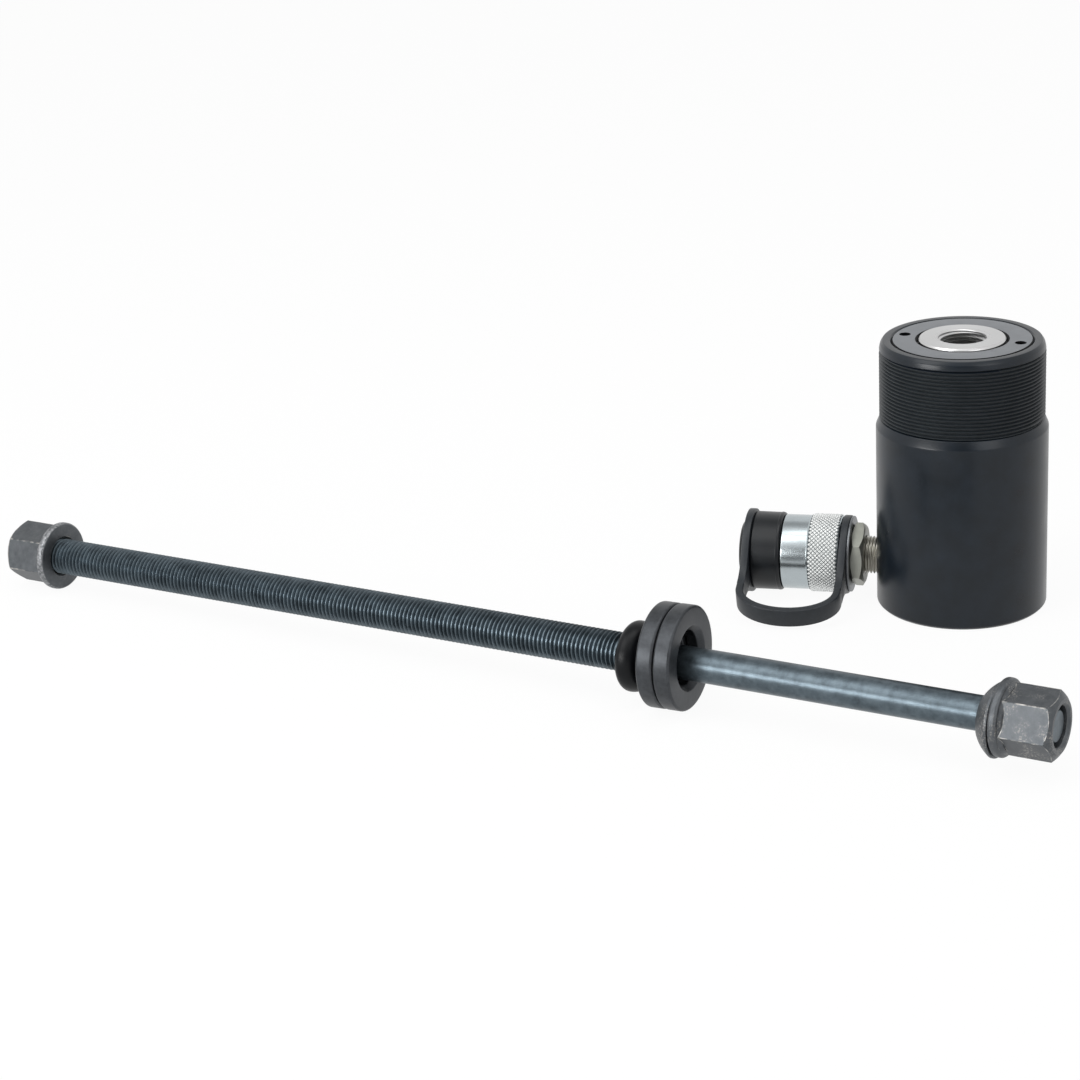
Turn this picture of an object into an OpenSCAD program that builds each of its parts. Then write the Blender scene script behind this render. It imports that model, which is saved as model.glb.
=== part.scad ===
// Hollow plunger cylinder with a screw coupler, a dust cap and its draw spindle set.
// Millimetres, +Z up. The origin is the centre of the cylinder's base, the coupler points along -X,
// and the spindle lies on the same surface in front of the cylinder.

/* [Cylinder body] */
// Outside diameter of the barrel
body_d = 72.8; // [71.5:0.1:90]
// Height from the base to the rim of the barrel
body_h = 118; // [112:0.5:150]
// Thickness of the base under the oil space
base_t = 13; // [11:0.5:16]
// Bore of the barrel
bore_d = 54; // [50:0.5:57]
// Diameter of the mounting thread round the barrel's upper end
mount_thread_d = 69.85; // [66:0.05:70.6]
// Pitch of the mounting thread
mount_pitch = 1.5875; // [1:0.0125:3]
// Depth of the mounting thread
mount_depth = 0.95; // [0.4:0.05:1.2]
// Length of the reduced end that carries the mounting thread
mount_thread_len = 34.2; // [24:0.1:45]
// Height of the bevel under the mounting thread
shoulder_h = 3.5; // [1:0.1:6]
// Diameter of the flat rim on top
rim_d = 66.8; // [63:0.1:69]
// Height of the bevel from the rim to the mounting thread
rim_bevel_h = 3.5; // [1:0.1:6]
// Bevel round the foot of the barrel
foot_bevel = 1.2; // [0.4:0.1:3]

/* [Centre tube] */
// Outside diameter of the centre tube
tube_od = 25.4; // [23.5:0.1:27]
// Bore of the centre tube, which the spindle passes through
tube_id = 19.6; // [17.5:0.1:21]
// Diameter of the flange at the foot of the centre tube
tube_flange_d = 31; // [29:0.5:36]
// Thickness of that flange
tube_flange_t = 4; // [3:0.5:5]
// Height of the seal groove above the flange
tube_seal_rise = 2.4; // [1.5:0.1:3]
// Width of the seal round the centre tube
tube_seal_w = 3.4; // [2.5:0.1:4]
// Radial depth of the seal round the centre tube
tube_seal_depth = 2.4; // [1.5:0.1:3]

/* [Plunger] */
// Diameter of the plunger rod
plunger_d = 36.6; // [34:0.1:38]
// Height that the plunger stands above the rim
plunger_proud = 0.8; // [0.2:0.1:4]
// Thread diameter in the plunger's mouth
mouth_thread_d = 19.05; // [17:0.05:21]
// Length of the threaded mouth
mouth_len = 19; // [12:0.5:24]
// Width of the bevel round the mouth
mouth_bevel = 0.8; // [0.3:0.1:1.5]
// Diameter of the nose under the piston head
nose_d = 42; // [36:0.5:46]
// Height of the nose
nose_h = 9; // [6:0.5:12]
// Thickness of the piston head
head_t = 16; // [14.8:0.1:20]

/* [Piston rings] */
// Height of the guide ring's groove above the head's lower face
guide_rise = 1.8; // [1:0.1:2.4]
// Width of the guide ring
guide_w = 4.5; // [3:0.1:5]
// Radial thickness of the guide ring
guide_depth = 2.4; // [1.5:0.1:3]
// Height of the piston seal's groove above the head's lower face
seal_rise = 8; // [7.8:0.1:8.6]
// Width of the piston seal
seal_w = 4.2; // [3:0.1:4.4]
// Width of the backup ring beside the piston seal
backup_w = 1.6; // [1:0.1:1.7]
// Radial thickness of the piston seal and of its backup ring
seal_depth = 4.8; // [3:0.1:5.5]
// Height of the inner seal's groove above the head's lower face
inner_seal_rise = 3.5; // [2:0.1:6]
// Width of the inner seal
inner_seal_w = 4; // [3:0.1:5]
// Radial thickness of the inner seal
inner_seal_depth = 2.4; // [1.5:0.1:2.6]

/* [Return spring] */
// Wire diameter of the return spring
wire_d = 3.4; // [2.4:0.1:3.6]
// Mean diameter of the return spring
coil_d = 45.4; // [43.5:0.1:47]
// Turns of the return spring
coil_turns = 7; // [5:0.5:7.5]
// Closed turns at each end
closed_turns = 0.75; // [0.5:0.25:1]

/* [Gland] */
// Diameter of the gland nut
gland_d = 59.4; // [58.5:0.1:61]
// Thickness of the gland nut
gland_t = 13; // [10:0.5:15]
// Diameter of the pocket for the bush and the wiper
pocket_d = 42; // [40.5:0.1:43.5]
// Thickness of the lip over the wiper
lip_t = 1.8; // [1:0.1:3]
// Gap between the lip and the plunger, which shows as a dark ring
lip_gap = 0.45; // [0.2:0.05:0.8]
// Height of the wiper ring
wiper_h = 2.5; // [1.5:0.1:3.5]
// Bevels on both sides of the joint round the gland
gland_bevel = 0.6; // [0.2:0.1:1]
// Diameter of the two spanner holes
spanner_d = 4.9; // [3:0.1:6]
// Depth of the spanner holes
spanner_depth = 7; // [3:0.5:9]
// Circle of the spanner holes
spanner_circle_d = 50; // [49:0.5:52]
// Turn of the spanner holes from the coupler's line
spanner_turn = -9.5; // [-90:0.5:90]

/* [Port and nipple] */
// Height of the port above the base
port_z = 18.6; // [18.5:0.1:19]
// Outside diameter of the nipple's pipe thread
nipple_d = 16.4; // [14:0.1:18]
// Pitch of the nipple's pipe thread
nipple_pitch = 1.411; // [1:0.001:2]
// Depth of the nipple's pipe thread
nipple_depth = 0.85; // [0.4:0.05:1.2]
// Bore of the nipple
nipple_bore = 8.4; // [6:0.1:10]
// Depth of the port's thread in the barrel's wall
port_depth = 7.8; // [5:0.1:7.9]
// Drilling from the port into the oil space
port_drill_d = 7; // [4:0.1:8]
// Length of thread that shows between the barrel and the hexagon
nipple_show = 5; // [2:0.1:12]

/* [Coupler body] */
// Hexagon across its flats
hex_af = 25; // [23:0.1:27]
// Thickness of the hexagon
hex_t = 5.5; // [4:0.1:12]
// Distance from the hexagon's flats to the round edge of its end faces
hex_bevel = 0.5; // [0.2:0.1:1]
// Turn of the hexagon from a corner on top
hex_turn = 3.5; // [-30:0.5:30]
// Diameter of the neck that the collar turns on
neck_d = 22.2; // [21.5:0.1:23]
// Length of the neck and barrel in front of the hexagon
neck_len = 18.1; // [17.5:0.1:20]
// Depth of the nipple's thread in the coupler body
socket_depth = 6.1; // [4:0.1:6.5]
// Bore between the nipple and the valve
coupler_bore = 7; // [4:0.1:8]
// Thickness of the wall in front of the nipple's thread
valve_wall = 1.5; // [1:0.1:2]
// Bore of the valve chamber
chamber_d = 14.4; // [13:0.1:15]
// Diameter of the valve ball
ball_d = 9.2; // [8.6:0.1:10]
// Orifice of the valve seat
orifice_d = 7.2; // [6:0.1:8]
// Length of the valve seat insert
seat_len = 3; // [2:0.1:4]
// Wire diameter of the valve spring
valve_wire_d = 0.8; // [0.6:0.1:0.9]
// Mean diameter of the valve spring
valve_coil_d = 6; // [5:0.1:6.6]
// Turns of the valve spring
valve_turns = 4; // [3:0.5:4]
// Cord of the seal round the coupler's front end
front_seal_cord = 1.8; // [1:0.1:2]
// Depth of the groove for that seal
front_groove = 1.2; // [0.6:0.1:1.6]
// Diameter of the thin disc behind the strap
disc_d = 33.6; // [26:0.1:35]
// Thickness of the thin disc
disc_t = 1; // [0.6:0.1:2]

/* [Coupler collar] */
// Diameter over the knurled band
knurl_d = 34.3; // [33:0.1:36]
// Length of the knurled band
knurl_len = 14.1; // [8:0.1:20]
// Diameter of the smooth sleeve
sleeve_d = 32.6; // [31.5:0.1:34]
// Length of the smooth sleeve that shows
sleeve_len = 11.3; // [8:0.1:20]
// Thickness of the lip that turns on the neck
collar_lip_t = 3; // [2:0.1:4]
// Bore round the snap ring
collar_cavity_d = 27.2; // [26.5:0.1:29]
// Bore of the threaded socket at the collar's front
socket_d = 26.4; // [25.5:0.1:28]
// Bevel at the ends of the collar
collar_bevel = 0.6; // [0.2:0.1:1]
// Thickness of the snap ring that holds the collar
snap_t = 1.4; // [1:0.1:2]
// Outside diameter of the snap ring
snap_d = 25.6; // [24:0.1:26]
// Depth of the snap ring's groove in the neck
snap_groove = 0.9; // [0.5:0.1:1.2]

/* [Dust cap] */
// Outside diameter of the dust cap
cap_d = 34.4; // [32:0.1:36]
// Length of the dust cap in front of the collar
cap_len = 12.9; // [8:0.1:20]
// Length of the plug inside the collar
plug_len = 9.6; // [5:0.1:10]
// Wall of the plug
plug_wall = 3; // [2:0.1:5]
// Thickness of the cap's end wall
cap_end_t = 4; // [2:0.1:7]
// Diameter of the neck that holds the strap
cap_neck_d = 22; // [16:0.1:24]
// Diameter of the button beyond the strap
button_d = 26; // [25.2:0.1:32]
// Thickness of the button
button_t = 2.2; // [1:0.1:4]
// Bevel round the edges of the cap
cap_bevel = 0.5; // [0.2:0.1:1]

/* [Cap strap] */
// Thickness of the moulded strap
strap_t = 3.2; // [2.4:0.1:4]
// Width of the strap's band
strap_w = 8.4; // [6:0.1:9]
// Diameter of the eyelet round the cap
cap_eyelet_d = 36.4; // [35:0.1:36.8]
// Diameter of the eyelet round the coupler's neck
neck_eyelet_d = 33.8; // [31:0.1:35]
// Distance from the coupler's axis to where the eyelets have narrowed to the band
flare_reach = 28; // [26:0.5:30]
// Reach of the loop from the coupler's axis to the band's outer face
loop_reach = 48; // [42:0.5:49]
// Depth of the curved end of the loop
loop_bend = 14; // [8:0.5:18]
// Angle that the loop hangs below the horizontal
loop_drop = 16; // [10:0.5:17]

/* [Draw spindle] */
// Length of the spindle
spindle_len = 501; // [480:1:560]
// Thread diameter of the spindle
spindle_thread_d = 16; // [15.2:0.1:17]
// Pitch of the spindle's threads
spindle_pitch = 2; // [1.5:0.05:3]
// Depth of the spindle's threads
spindle_depth = 1.2; // [0.6:0.05:1.6]
// Length of the long thread
long_thread_len = 317.5; // [250:0.5:320]
// Length of the short thread at the other end
short_thread_len = 17; // [12:0.5:18]
// Diameter of the smooth shank
shank_d = 13.8; // [12:0.1:14.6]
// Bevel on the spindle's ends
spindle_bevel = 2; // [1:0.1:2.5]
// Place of the spindle's far end along X
spindle_x = -425.7; // [-500:0.1:-380]
// Place of the spindle's far end along Y
spindle_y = -32.2; // [-80:0.1:0]
// Direction of the spindle, turned from +X
spindle_turn = -16.4; // [-25:0.1:-10]

/* [Spindle nuts] */
// Nut hexagon across its flats
nut_af = 24; // [23:0.1:26]
// Height of the collar nuts
nut_h = 24; // [18:0.5:30]
// Diameter of the nuts' round collar
nut_collar_d = 30.6; // [30:0.1:33]
// Thickness of the nuts' round collar
nut_collar_t = 5; // [4:0.1:8]
// Rounding of the round collar's edge
nut_collar_round = 1.3; // [0.6:0.1:1.8]
// Radius of the flat ring on the nuts' outer end
nut_end_r = 10.6; // [10:0.1:11.4]
// Slope of the nuts' end bevel
nut_end_slope = 35; // [20:1:45]
// Bevel round the nuts' thread
nut_mouth_bevel = 1.1; // [0.4:0.1:1.6]
// Distance that the nuts stand past the spindle's ends
nut_overhang = 1.6; // [0.5:0.1:4]
// Turn of the far nut's hexagon
far_nut_turn = 12; // [-30:0.5:30]
// Turn of the near nut's hexagon
near_nut_turn = -20.5; // [-30:0.5:30]

/* [Rings on the spindle] */
// Diameter of the two thick rings
ring_d = 43; // [41:0.1:46]
// Thickness of each thick ring
ring_t = 7.2; // [5:0.1:9]
// Bore of the rear ring, which carries the shank
rear_bore_d = 18; // [17.2:0.1:19]
// Bore of the front ring
front_bore_d = 22.4; // [20:0.1:25]
// Bevel at the mouth of the front ring
front_mouth = 2.3; // [1:0.1:3]
// Rounding bevel on the thick rings' edges
ring_bevel = 0.7; // [0.3:0.1:1.2]
// Distance from the long thread to the rear ring
ring_gap = 14.5; // [12:0.5:40]
// Turn of the two thick rings about the upright
ring_yaw = 3.5; // [0:0.5:6]
// Distance from the long thread to the rubber ring
rubber_gap = 1.1; // [0.5:0.1:6]
// Cord diameter of the rubber ring
rubber_cord = 6.8; // [5:0.1:7.5]
// Inside diameter of the rubber ring
rubber_id = 15.6; // [15:0.1:18]
// Diameter of the ball washer
washer_d = 29.4; // [27:0.1:31]
// Bore of the ball washer
washer_bore_d = 17; // [16.4:0.1:18]
// Thickness of the ball washer
washer_t = 6.5; // [5:0.1:8]
// Radius of the ball washer's domed side
washer_ball_r = 17.5; // [16.5:0.1:24]

/* [Clearances] */
// Radial clearance of a sliding or turning fit
run_clear = 0.08; // [0.02:0.01:0.1]
// Clearance between pieces that are fixed together
seat_clear = 0.1; // [0.05:0.01:0.2]
// Gap between faces that move past each other
face_gap = 0.3; // [0.2:0.05:0.6]
// Height of the plunger's nose above the base
nose_gap = 0.5; // [0.2:0.1:1]
// Gap between the centre tube's end and the threaded mouth
tube_gap = 1.5; // [0.5:0.1:3]

/* [Hidden] */
$fn = 96;

body_r = body_d / 2;
bore_r = bore_d / 2;
mount_r = mount_thread_d / 2;
mount_z = body_h - mount_thread_len;
tube_r = tube_od / 2;
tube_hole_r = tube_r + seat_clear;

nose_z = base_t + nose_gap;
head_z = nose_z + nose_h;
head_top = head_z + head_t;
plunger_top = body_h + plunger_proud;
mouth_z = plunger_top - mouth_len;
tube_top = mouth_z - tube_gap;
rod_r = plunger_d / 2;
head_r = bore_r - run_clear;
inner_land_r = tube_r + run_clear;
relief_r = tube_r + 10 * run_clear;
gland_z = body_h - gland_t;
gland_hole_r = gland_d / 2 + seat_clear;
lip_z = body_h - lip_t;
wiper_z = lip_z - seat_clear - wiper_h;

hex_s = body_r + nipple_show;
neck_s = hex_s + hex_t;
disc_end = neck_s + disc_t;
neck_eyelet_s = disc_end + seat_clear;
collar_s = neck_eyelet_s + strap_t + face_gap;
knurl_end = collar_s + knurl_len;
sleeve_end = knurl_end + sleeve_len;
neck_end = neck_s + neck_len;
collar_lip_end = collar_s + collar_lip_t;
snap_s = collar_lip_end + face_gap;
cavity_end = neck_end + face_gap;
cap_s = sleeve_end + face_gap;
cap_neck_s = cap_s + cap_len;
cap_eyelet_s = cap_neck_s + seat_clear;
button_s = cap_eyelet_s + strap_t + seat_clear;
plug_r = socket_d / 2 - face_gap;
socket_end = hex_s + socket_depth;
chamber_s = socket_end + valve_wall;
seat_s = neck_end - seat_len;
front_groove_r = neck_d / 2 - front_groove;
ball_seat = sqrt(pow(ball_d / 2, 2) - pow(orifice_d / 2, 2));
ball_s = seat_s - ball_seat - seat_clear;
ball_back = sqrt(pow(ball_d / 2, 2) - pow(valve_coil_d / 2, 2));
valve_spring_end = ball_s - ball_back - valve_wire_d / 2 - seat_clear;

shank_r = shank_d / 2;
screw_r = spindle_thread_d / 2;
nut_bore_r = screw_r + run_clear;
far_face_a = nut_h - nut_overhang;
near_face_a = spindle_len + nut_overhang - nut_h;
washer_a = near_face_a - face_gap - washer_t;
rubber_a = long_thread_len + rubber_gap + rubber_cord / 2;
rear_a = long_thread_len + ring_gap;
front_a = rear_a + ring_t + face_gap;
pair_a = front_a - face_gap / 2;
ring_rise = rear_bore_d / 2 - shank_r - seat_clear;
rubber_drop = rubber_id / 2 - shank_r - seat_clear;
washer_drop = washer_bore_d / 2 - shank_r - seat_clear;
rest_far_a = far_face_a - nut_collar_t / 2;
rest_near_a = front_a;
rest_far_h = nut_collar_d / 2;
rest_near_h = ring_d / 2 - ring_rise;
spindle_lean = asin((rest_near_h - rest_far_h) / (rest_near_a - rest_far_a));
spindle_z = rest_far_h + seat_clear + (nut_collar_t / 2 + ring_t - rest_far_a) * sin(spindle_lean);

// Corners of a thread on a turned outline, with a ring for each turn and a narrow crest between two grooves
function thread(crest_r, depth, pitch, low, high) =
    let (crest = pitch / 8, turns = floor((high - low - crest) / pitch))
    concat(
        [for (i = [0 : turns - 1], corner = [[0, 0], [0, crest], [depth, (pitch + crest) / 2]])
            [crest_r - corner[0], low + i * pitch + corner[1]]],
        [[crest_r, low + turns * pitch], [crest_r, high]]);

// Ring of rectangular section between two heights
module band(outer_r, inner_r, low, high) {
    rotate_extrude()
        translate([inner_r, low])
            square([outer_r - inner_r, high - low]);
}

// Sets a piece on the coupler's axis, with local +Z pointing out of the port and local +X up
module on_coupler() {
    translate([0, 0, port_z])
        rotate([0, -90, 0])
            children();
}

// Sets a piece on the spindle's axis, with local +Z from its far end to its near end and local -X up
module on_spindle() {
    translate([spindle_x, spindle_y, spindle_z])
        rotate([0, 90 - spindle_lean, spindle_turn])
            children();
}

// Height along a coil at a given turn: closed turns lie one wire apart, the others are evenly spread
function coil_height(turn, turns, closed, wire, span) =
    let (lead = closed * wire, open_turns = turns - 2 * closed, open_span = span - 2 * lead)
    turn < closed ? turn * wire
    : turn > turns - closed ? span - (turns - turn) * wire
    : lead + (turn - closed) / open_turns * open_span;

// Round wire wound about Z, from the wire's centre at height 0 to its centre at height span
module coil(mean_r, wire, turns, closed, span, steps, sides) {
    rings = round(turns * steps);
    points = [for (i = [0 : rings])
        let (turn = i / steps, height = coil_height(turn, turns, closed, wire, span))
        for (k = [0 : sides - 1])
            let (a = 360 * k / sides, out = mean_r + wire / 2 * cos(a))
            [out * cos(360 * turn), out * sin(360 * turn), height + wire / 2 * sin(a)]];
    walls = [for (i = [0 : rings - 1], k = [0 : sides - 1])
        let (n = (k + 1) % sides)
        [i * sides + k, i * sides + n, (i + 1) * sides + n, (i + 1) * sides + k]];
    first = [[for (k = [0 : sides - 1]) sides - 1 - k]];
    last = [[for (k = [0 : sides - 1]) rings * sides + k]];
    polyhedron(points, concat(walls, first, last), convexity = 10);
}

// Barrel and base in one turned piece, with the port through its wall
module cylinder_body() {
    groove_z = tube_flange_t + tube_seal_rise;
    color("#2b3034")
    difference() {
        rotate_extrude()
            polygon(concat(
                [[0, 0], [body_r - foot_bevel, 0], [body_r, foot_bevel], [body_r, mount_z - shoulder_h]],
                thread(mount_r, mount_depth, mount_pitch, mount_z, body_h - rim_bevel_h),
                [[rim_d / 2, body_h], [0, body_h]]));
        translate([0, 0, base_t])
            cylinder(r = bore_r, h = body_h);
        translate([0, 0, gland_z])
            cylinder(r = gland_hole_r, h = body_h);
        translate([0, 0, body_h - gland_bevel])
            cylinder(r1 = gland_hole_r, r2 = gland_hole_r + 2 * gland_bevel, h = 2 * gland_bevel);
        translate([0, 0, -base_t])
            cylinder(r = tube_hole_r, h = 3 * base_t);
        translate([0, 0, -tube_flange_t])
            cylinder(r = tube_flange_d / 2 + seat_clear, h = 2 * tube_flange_t + seat_clear);
        band(tube_hole_r + tube_seal_depth, 0, groove_z, groove_z + tube_seal_w);
        on_coupler()
            translate([0, 0, body_r - port_depth])
                cylinder(d = nipple_d + 2 * seat_clear, h = 2 * port_depth);
        on_coupler()
            translate([0, 0, nose_d / 2])
                cylinder(d = port_drill_d, h = body_r - nose_d / 2);
    }
}

// Plated guide tube through the middle, with a flange let into the underside of the base
module center_tube() {
    color("#9a9c9c")
    difference() {
        union() {
            cylinder(r = tube_r, h = tube_top);
            cylinder(d = tube_flange_d, h = tube_flange_t);
        }
        translate([0, 0, -tube_flange_t])
            cylinder(d = tube_id, h = tube_top + 2 * tube_flange_t);
    }
}

// Static seal in the base, round the centre tube
module tube_seal() {
    low = tube_flange_t + tube_seal_rise + seat_clear;
    high = low + tube_seal_w - 2 * seat_clear;
    color("#1c1c1c")
        band(tube_hole_r + tube_seal_depth - seat_clear, tube_r + seat_clear, low, high);
}

// Hollow rod and piston head in one turned piece, with a threaded mouth on top
module plunger() {
    guide_low = head_z + guide_rise;
    seal_low = head_z + seal_rise;
    inner_low = head_z + inner_seal_rise;
    color("#c9c5bd")
    difference() {
        union() {
            translate([0, 0, nose_z])
                cylinder(d = nose_d, h = nose_h + head_t / 2);
            translate([0, 0, head_z])
                cylinder(r = head_r, h = head_t);
            translate([0, 0, head_z])
                cylinder(r = rod_r, h = plunger_top - head_z);
        }
        band(bore_r + head_t, bore_r - guide_depth, guide_low, guide_low + guide_w);
        band(bore_r + head_t, bore_r - seal_depth, seal_low, seal_low + seal_w + backup_w);
        translate([0, 0, nose_z - nose_h])
            cylinder(r = inner_land_r, h = nose_h + head_top - nose_z);
        band(inner_land_r + inner_seal_depth, 0, inner_low, inner_low + inner_seal_w);
        translate([0, 0, head_top - nose_gap])
            cylinder(r = relief_r, h = mouth_z - head_top + nose_gap);
        translate([0, 0, mouth_z - tube_gap])
            cylinder(d = mouth_thread_d, h = mouth_len + 2 * tube_gap);
        translate([0, 0, plunger_top - mouth_bevel])
            cylinder(d1 = mouth_thread_d, d2 = mouth_thread_d + 4 * mouth_bevel, h = 2 * mouth_bevel);
    }
}

// Split wear ring that guides the piston head in the bore
module guide_ring() {
    low = head_z + guide_rise + seat_clear;
    color("#4c3a2a")
        band(bore_r - run_clear, bore_r - guide_depth + seat_clear, low, low + guide_w - 2 * seat_clear);
}

// Lip seal that holds the oil under the piston head, with its lips facing down
module piston_seal() {
    low = head_z + seal_rise + seat_clear;
    outer_r = bore_r - run_clear;
    inner_r = bore_r - seal_depth + seat_clear;
    width = outer_r - inner_r;
    color("#202326")
    difference() {
        band(outer_r, inner_r, low, low + seal_w - 2 * seat_clear);
        rotate_extrude()
            polygon([[inner_r + width / 4, low - seal_w / 4], [outer_r - width / 4, low - seal_w / 4],
                [outer_r - width / 4, low], [inner_r + width / 2, low + seal_w / 2],
                [inner_r + width / 4, low]]);
    }
}

// Hard ring that stops the lip seal from creeping into the gap above it
module backup_ring() {
    low = head_z + seal_rise + seal_w;
    color("#b8b09a")
        band(bore_r - run_clear, bore_r - seal_depth + seat_clear, low, low + backup_w - seat_clear);
}

// Seal between the piston head and the centre tube
module inner_seal() {
    low = head_z + inner_seal_rise + seat_clear;
    high = low + inner_seal_w - 2 * seat_clear;
    color("#202326")
        band(inner_land_r + inner_seal_depth - seat_clear, inner_land_r, low, high);
}

// Coil spring round the rod, between the piston head and the gland
module return_spring() {
    first = head_top + wire_d / 2 + seat_clear;
    last = gland_z - wire_d / 2 - seat_clear;
    color("#6a6d70")
        translate([0, 0, first])
            coil(coil_d / 2, wire_d, coil_turns, closed_turns, last - first, 20, 8);
}

// Screwed stop ring in the top of the barrel, with two holes for a pin spanner
module gland_nut() {
    gland_r = gland_d / 2;
    lip_r = rod_r + lip_gap;
    color("#4a4d50")
    difference() {
        rotate_extrude()
            polygon([[lip_r, gland_z], [gland_r, gland_z], [gland_r, body_h - gland_bevel],
                [gland_r - gland_bevel, body_h], [lip_r, body_h]]);
        translate([0, 0, gland_z - gland_t])
            cylinder(d = pocket_d, h = gland_t + lip_z - gland_z);
        for (side = [0, 180])
            rotate([0, 0, spanner_turn + side])
                translate([spanner_circle_d / 2, 0, body_h - spanner_depth])
                    cylinder(d = spanner_d, h = 2 * spanner_depth);
    }
}

// Bronze bush that guides the rod in the gland
module gland_bush() {
    color("#a5793c")
        band(pocket_d / 2 - seat_clear, rod_r + run_clear, gland_z, wiper_z - seat_clear);
}

// Soft ring that wipes the rod, held under the gland's lip
module wiper_ring() {
    color("#17181a")
        band(pocket_d / 2 - seat_clear, rod_r + run_clear, wiper_z, wiper_z + wiper_h);
}

// Short piece of threaded pipe between the port and the coupler
module port_nipple() {
    low = body_r - port_depth + seat_clear;
    high = socket_end - seat_clear;
    nipple_r = nipple_d / 2;
    color("#9b9a94")
    on_coupler()
        rotate_extrude()
            polygon(concat(
                [[nipple_bore / 2, low], [nipple_r - nipple_depth, low]],
                thread(nipple_r, nipple_depth, nipple_pitch, low + nipple_depth, high - nipple_depth),
                [[nipple_r - nipple_depth, high], [nipple_bore / 2, high]]));
}

// Hexagon, neck and valve chamber of the coupler half
module coupler_body() {
    corner_r = hex_af / 2 / cos(30);
    face_r = hex_af / 2 - hex_bevel;
    wide_r = corner_r + hex_bevel;
    bevel = (wide_r - face_r) * tan(30);
    color("#7d7c6e")
    on_coupler()
    difference() {
        union() {
            intersection() {
                translate([0, 0, hex_s])
                    rotate([0, 0, hex_turn])
                        cylinder(r = corner_r, h = hex_t, $fn = 6);
                rotate_extrude()
                    polygon([[0, hex_s], [face_r, hex_s], [wide_r, hex_s + bevel],
                        [wide_r, neck_s - bevel], [face_r, neck_s], [0, neck_s]]);
            }
            translate([0, 0, neck_s - hex_t / 2])
                cylinder(d = neck_d, h = neck_len + hex_t / 2);
        }
        translate([0, 0, hex_s - hex_t])
            cylinder(d = nipple_d + 2 * seat_clear, h = hex_t + socket_depth);
        translate([0, 0, hex_s])
            cylinder(d = coupler_bore, h = hex_t + neck_len);
        translate([0, 0, chamber_s])
            cylinder(d = chamber_d, h = neck_len + hex_t);
        band(neck_d, neck_d / 2 - snap_groove, snap_s - seat_clear, snap_s + snap_t + seat_clear);
        band(neck_d, front_groove_r, seat_s - front_seal_cord / 2 - seat_clear,
            seat_s + front_seal_cord / 2 + seat_clear);
    }
}

// Thin metal disc between the hexagon and the strap's eyelet
module neck_disc() {
    color("#b5b0a6")
    on_coupler()
        band(disc_d / 2, neck_d / 2 + seat_clear, neck_s, disc_end);
}

// Open spring ring in the neck's groove, which keeps the collar on
module snap_ring() {
    opening = snap_t * 2;
    color("#55585a")
    on_coupler()
    difference() {
        band(snap_d / 2, neck_d / 2 - snap_groove + seat_clear, snap_s, snap_s + snap_t);
        translate([0, -opening / 2, snap_s - snap_t])
            cube([snap_d, opening, 3 * snap_t]);
    }
}

// Pressed-in seat for the valve ball at the coupler's front end
module valve_seat() {
    color("#a09f9a")
    on_coupler()
        band(chamber_d / 2 - seat_clear, orifice_d / 2, seat_s, neck_end);
}

// Steel ball that closes the coupler when it is not connected
module valve_ball() {
    color("#b9babb")
    on_coupler()
        translate([0, 0, ball_s])
            sphere(d = ball_d);
}

// Small spring that holds the ball on its seat
module valve_spring() {
    first = chamber_s + valve_wire_d / 2 + seat_clear;
    color("#77797b")
    on_coupler()
        translate([0, 0, first])
            coil(valve_coil_d / 2, valve_wire_d, valve_turns, closed_turns, valve_spring_end - first, 16, 6);
}

// Seal round the front end of the coupler body
module front_seal() {
    color("#1c1c1c")
    on_coupler()
        rotate_extrude()
            translate([front_groove_r + seat_clear + front_seal_cord / 2, seat_s])
                circle(d = front_seal_cord, $fn = 32);
}

// Turning collar: a knurled band, a smooth sleeve and a threaded socket in front
module knurled_collar() {
    knurl_r = knurl_d / 2;
    sleeve_r = sleeve_d / 2;
    color("#c8cccf")
    on_coupler()
    difference() {
        rotate_extrude()
            polygon([[0, collar_s], [knurl_r - collar_bevel, collar_s], [knurl_r, collar_s + collar_bevel],
                [knurl_r, knurl_end - collar_bevel], [sleeve_r, knurl_end],
                [sleeve_r, sleeve_end - collar_bevel], [sleeve_r - collar_bevel, sleeve_end],
                [0, sleeve_end]]);
        translate([0, 0, collar_s - collar_lip_t])
            cylinder(r = neck_d / 2 + run_clear, h = 3 * collar_lip_t);
        translate([0, 0, collar_lip_end])
            cylinder(d = collar_cavity_d, h = cavity_end - collar_lip_end);
        translate([0, 0, cavity_end - collar_lip_t])
            cylinder(d = socket_d, h = sleeve_end - cavity_end + 2 * collar_lip_t);
    }
}

// Moulded cap with a hollow plug, and a neck and button for the strap
module dust_cap() {
    cap_r = cap_d / 2;
    plug_s = cap_s - plug_len;
    color("#2a2c2e")
    on_coupler()
        rotate_extrude()
            polygon([[plug_r - plug_wall, plug_s], [plug_r - cap_bevel, plug_s],
                [plug_r, plug_s + cap_bevel], [plug_r, cap_s],
                [cap_r - cap_bevel, cap_s], [cap_r, cap_s + cap_bevel],
                [cap_r, cap_neck_s - cap_bevel], [cap_r - cap_bevel, cap_neck_s],
                [cap_neck_d / 2, cap_neck_s], [cap_neck_d / 2, button_s],
                [button_d / 2, button_s], [button_d / 2, button_s + button_t / 2],
                [button_d / 2 - button_t / 2, button_s + button_t], [0, button_s + button_t],
                [0, cap_neck_s - cap_end_t], [plug_r - plug_wall, cap_neck_s - cap_end_t]]);
}

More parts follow.
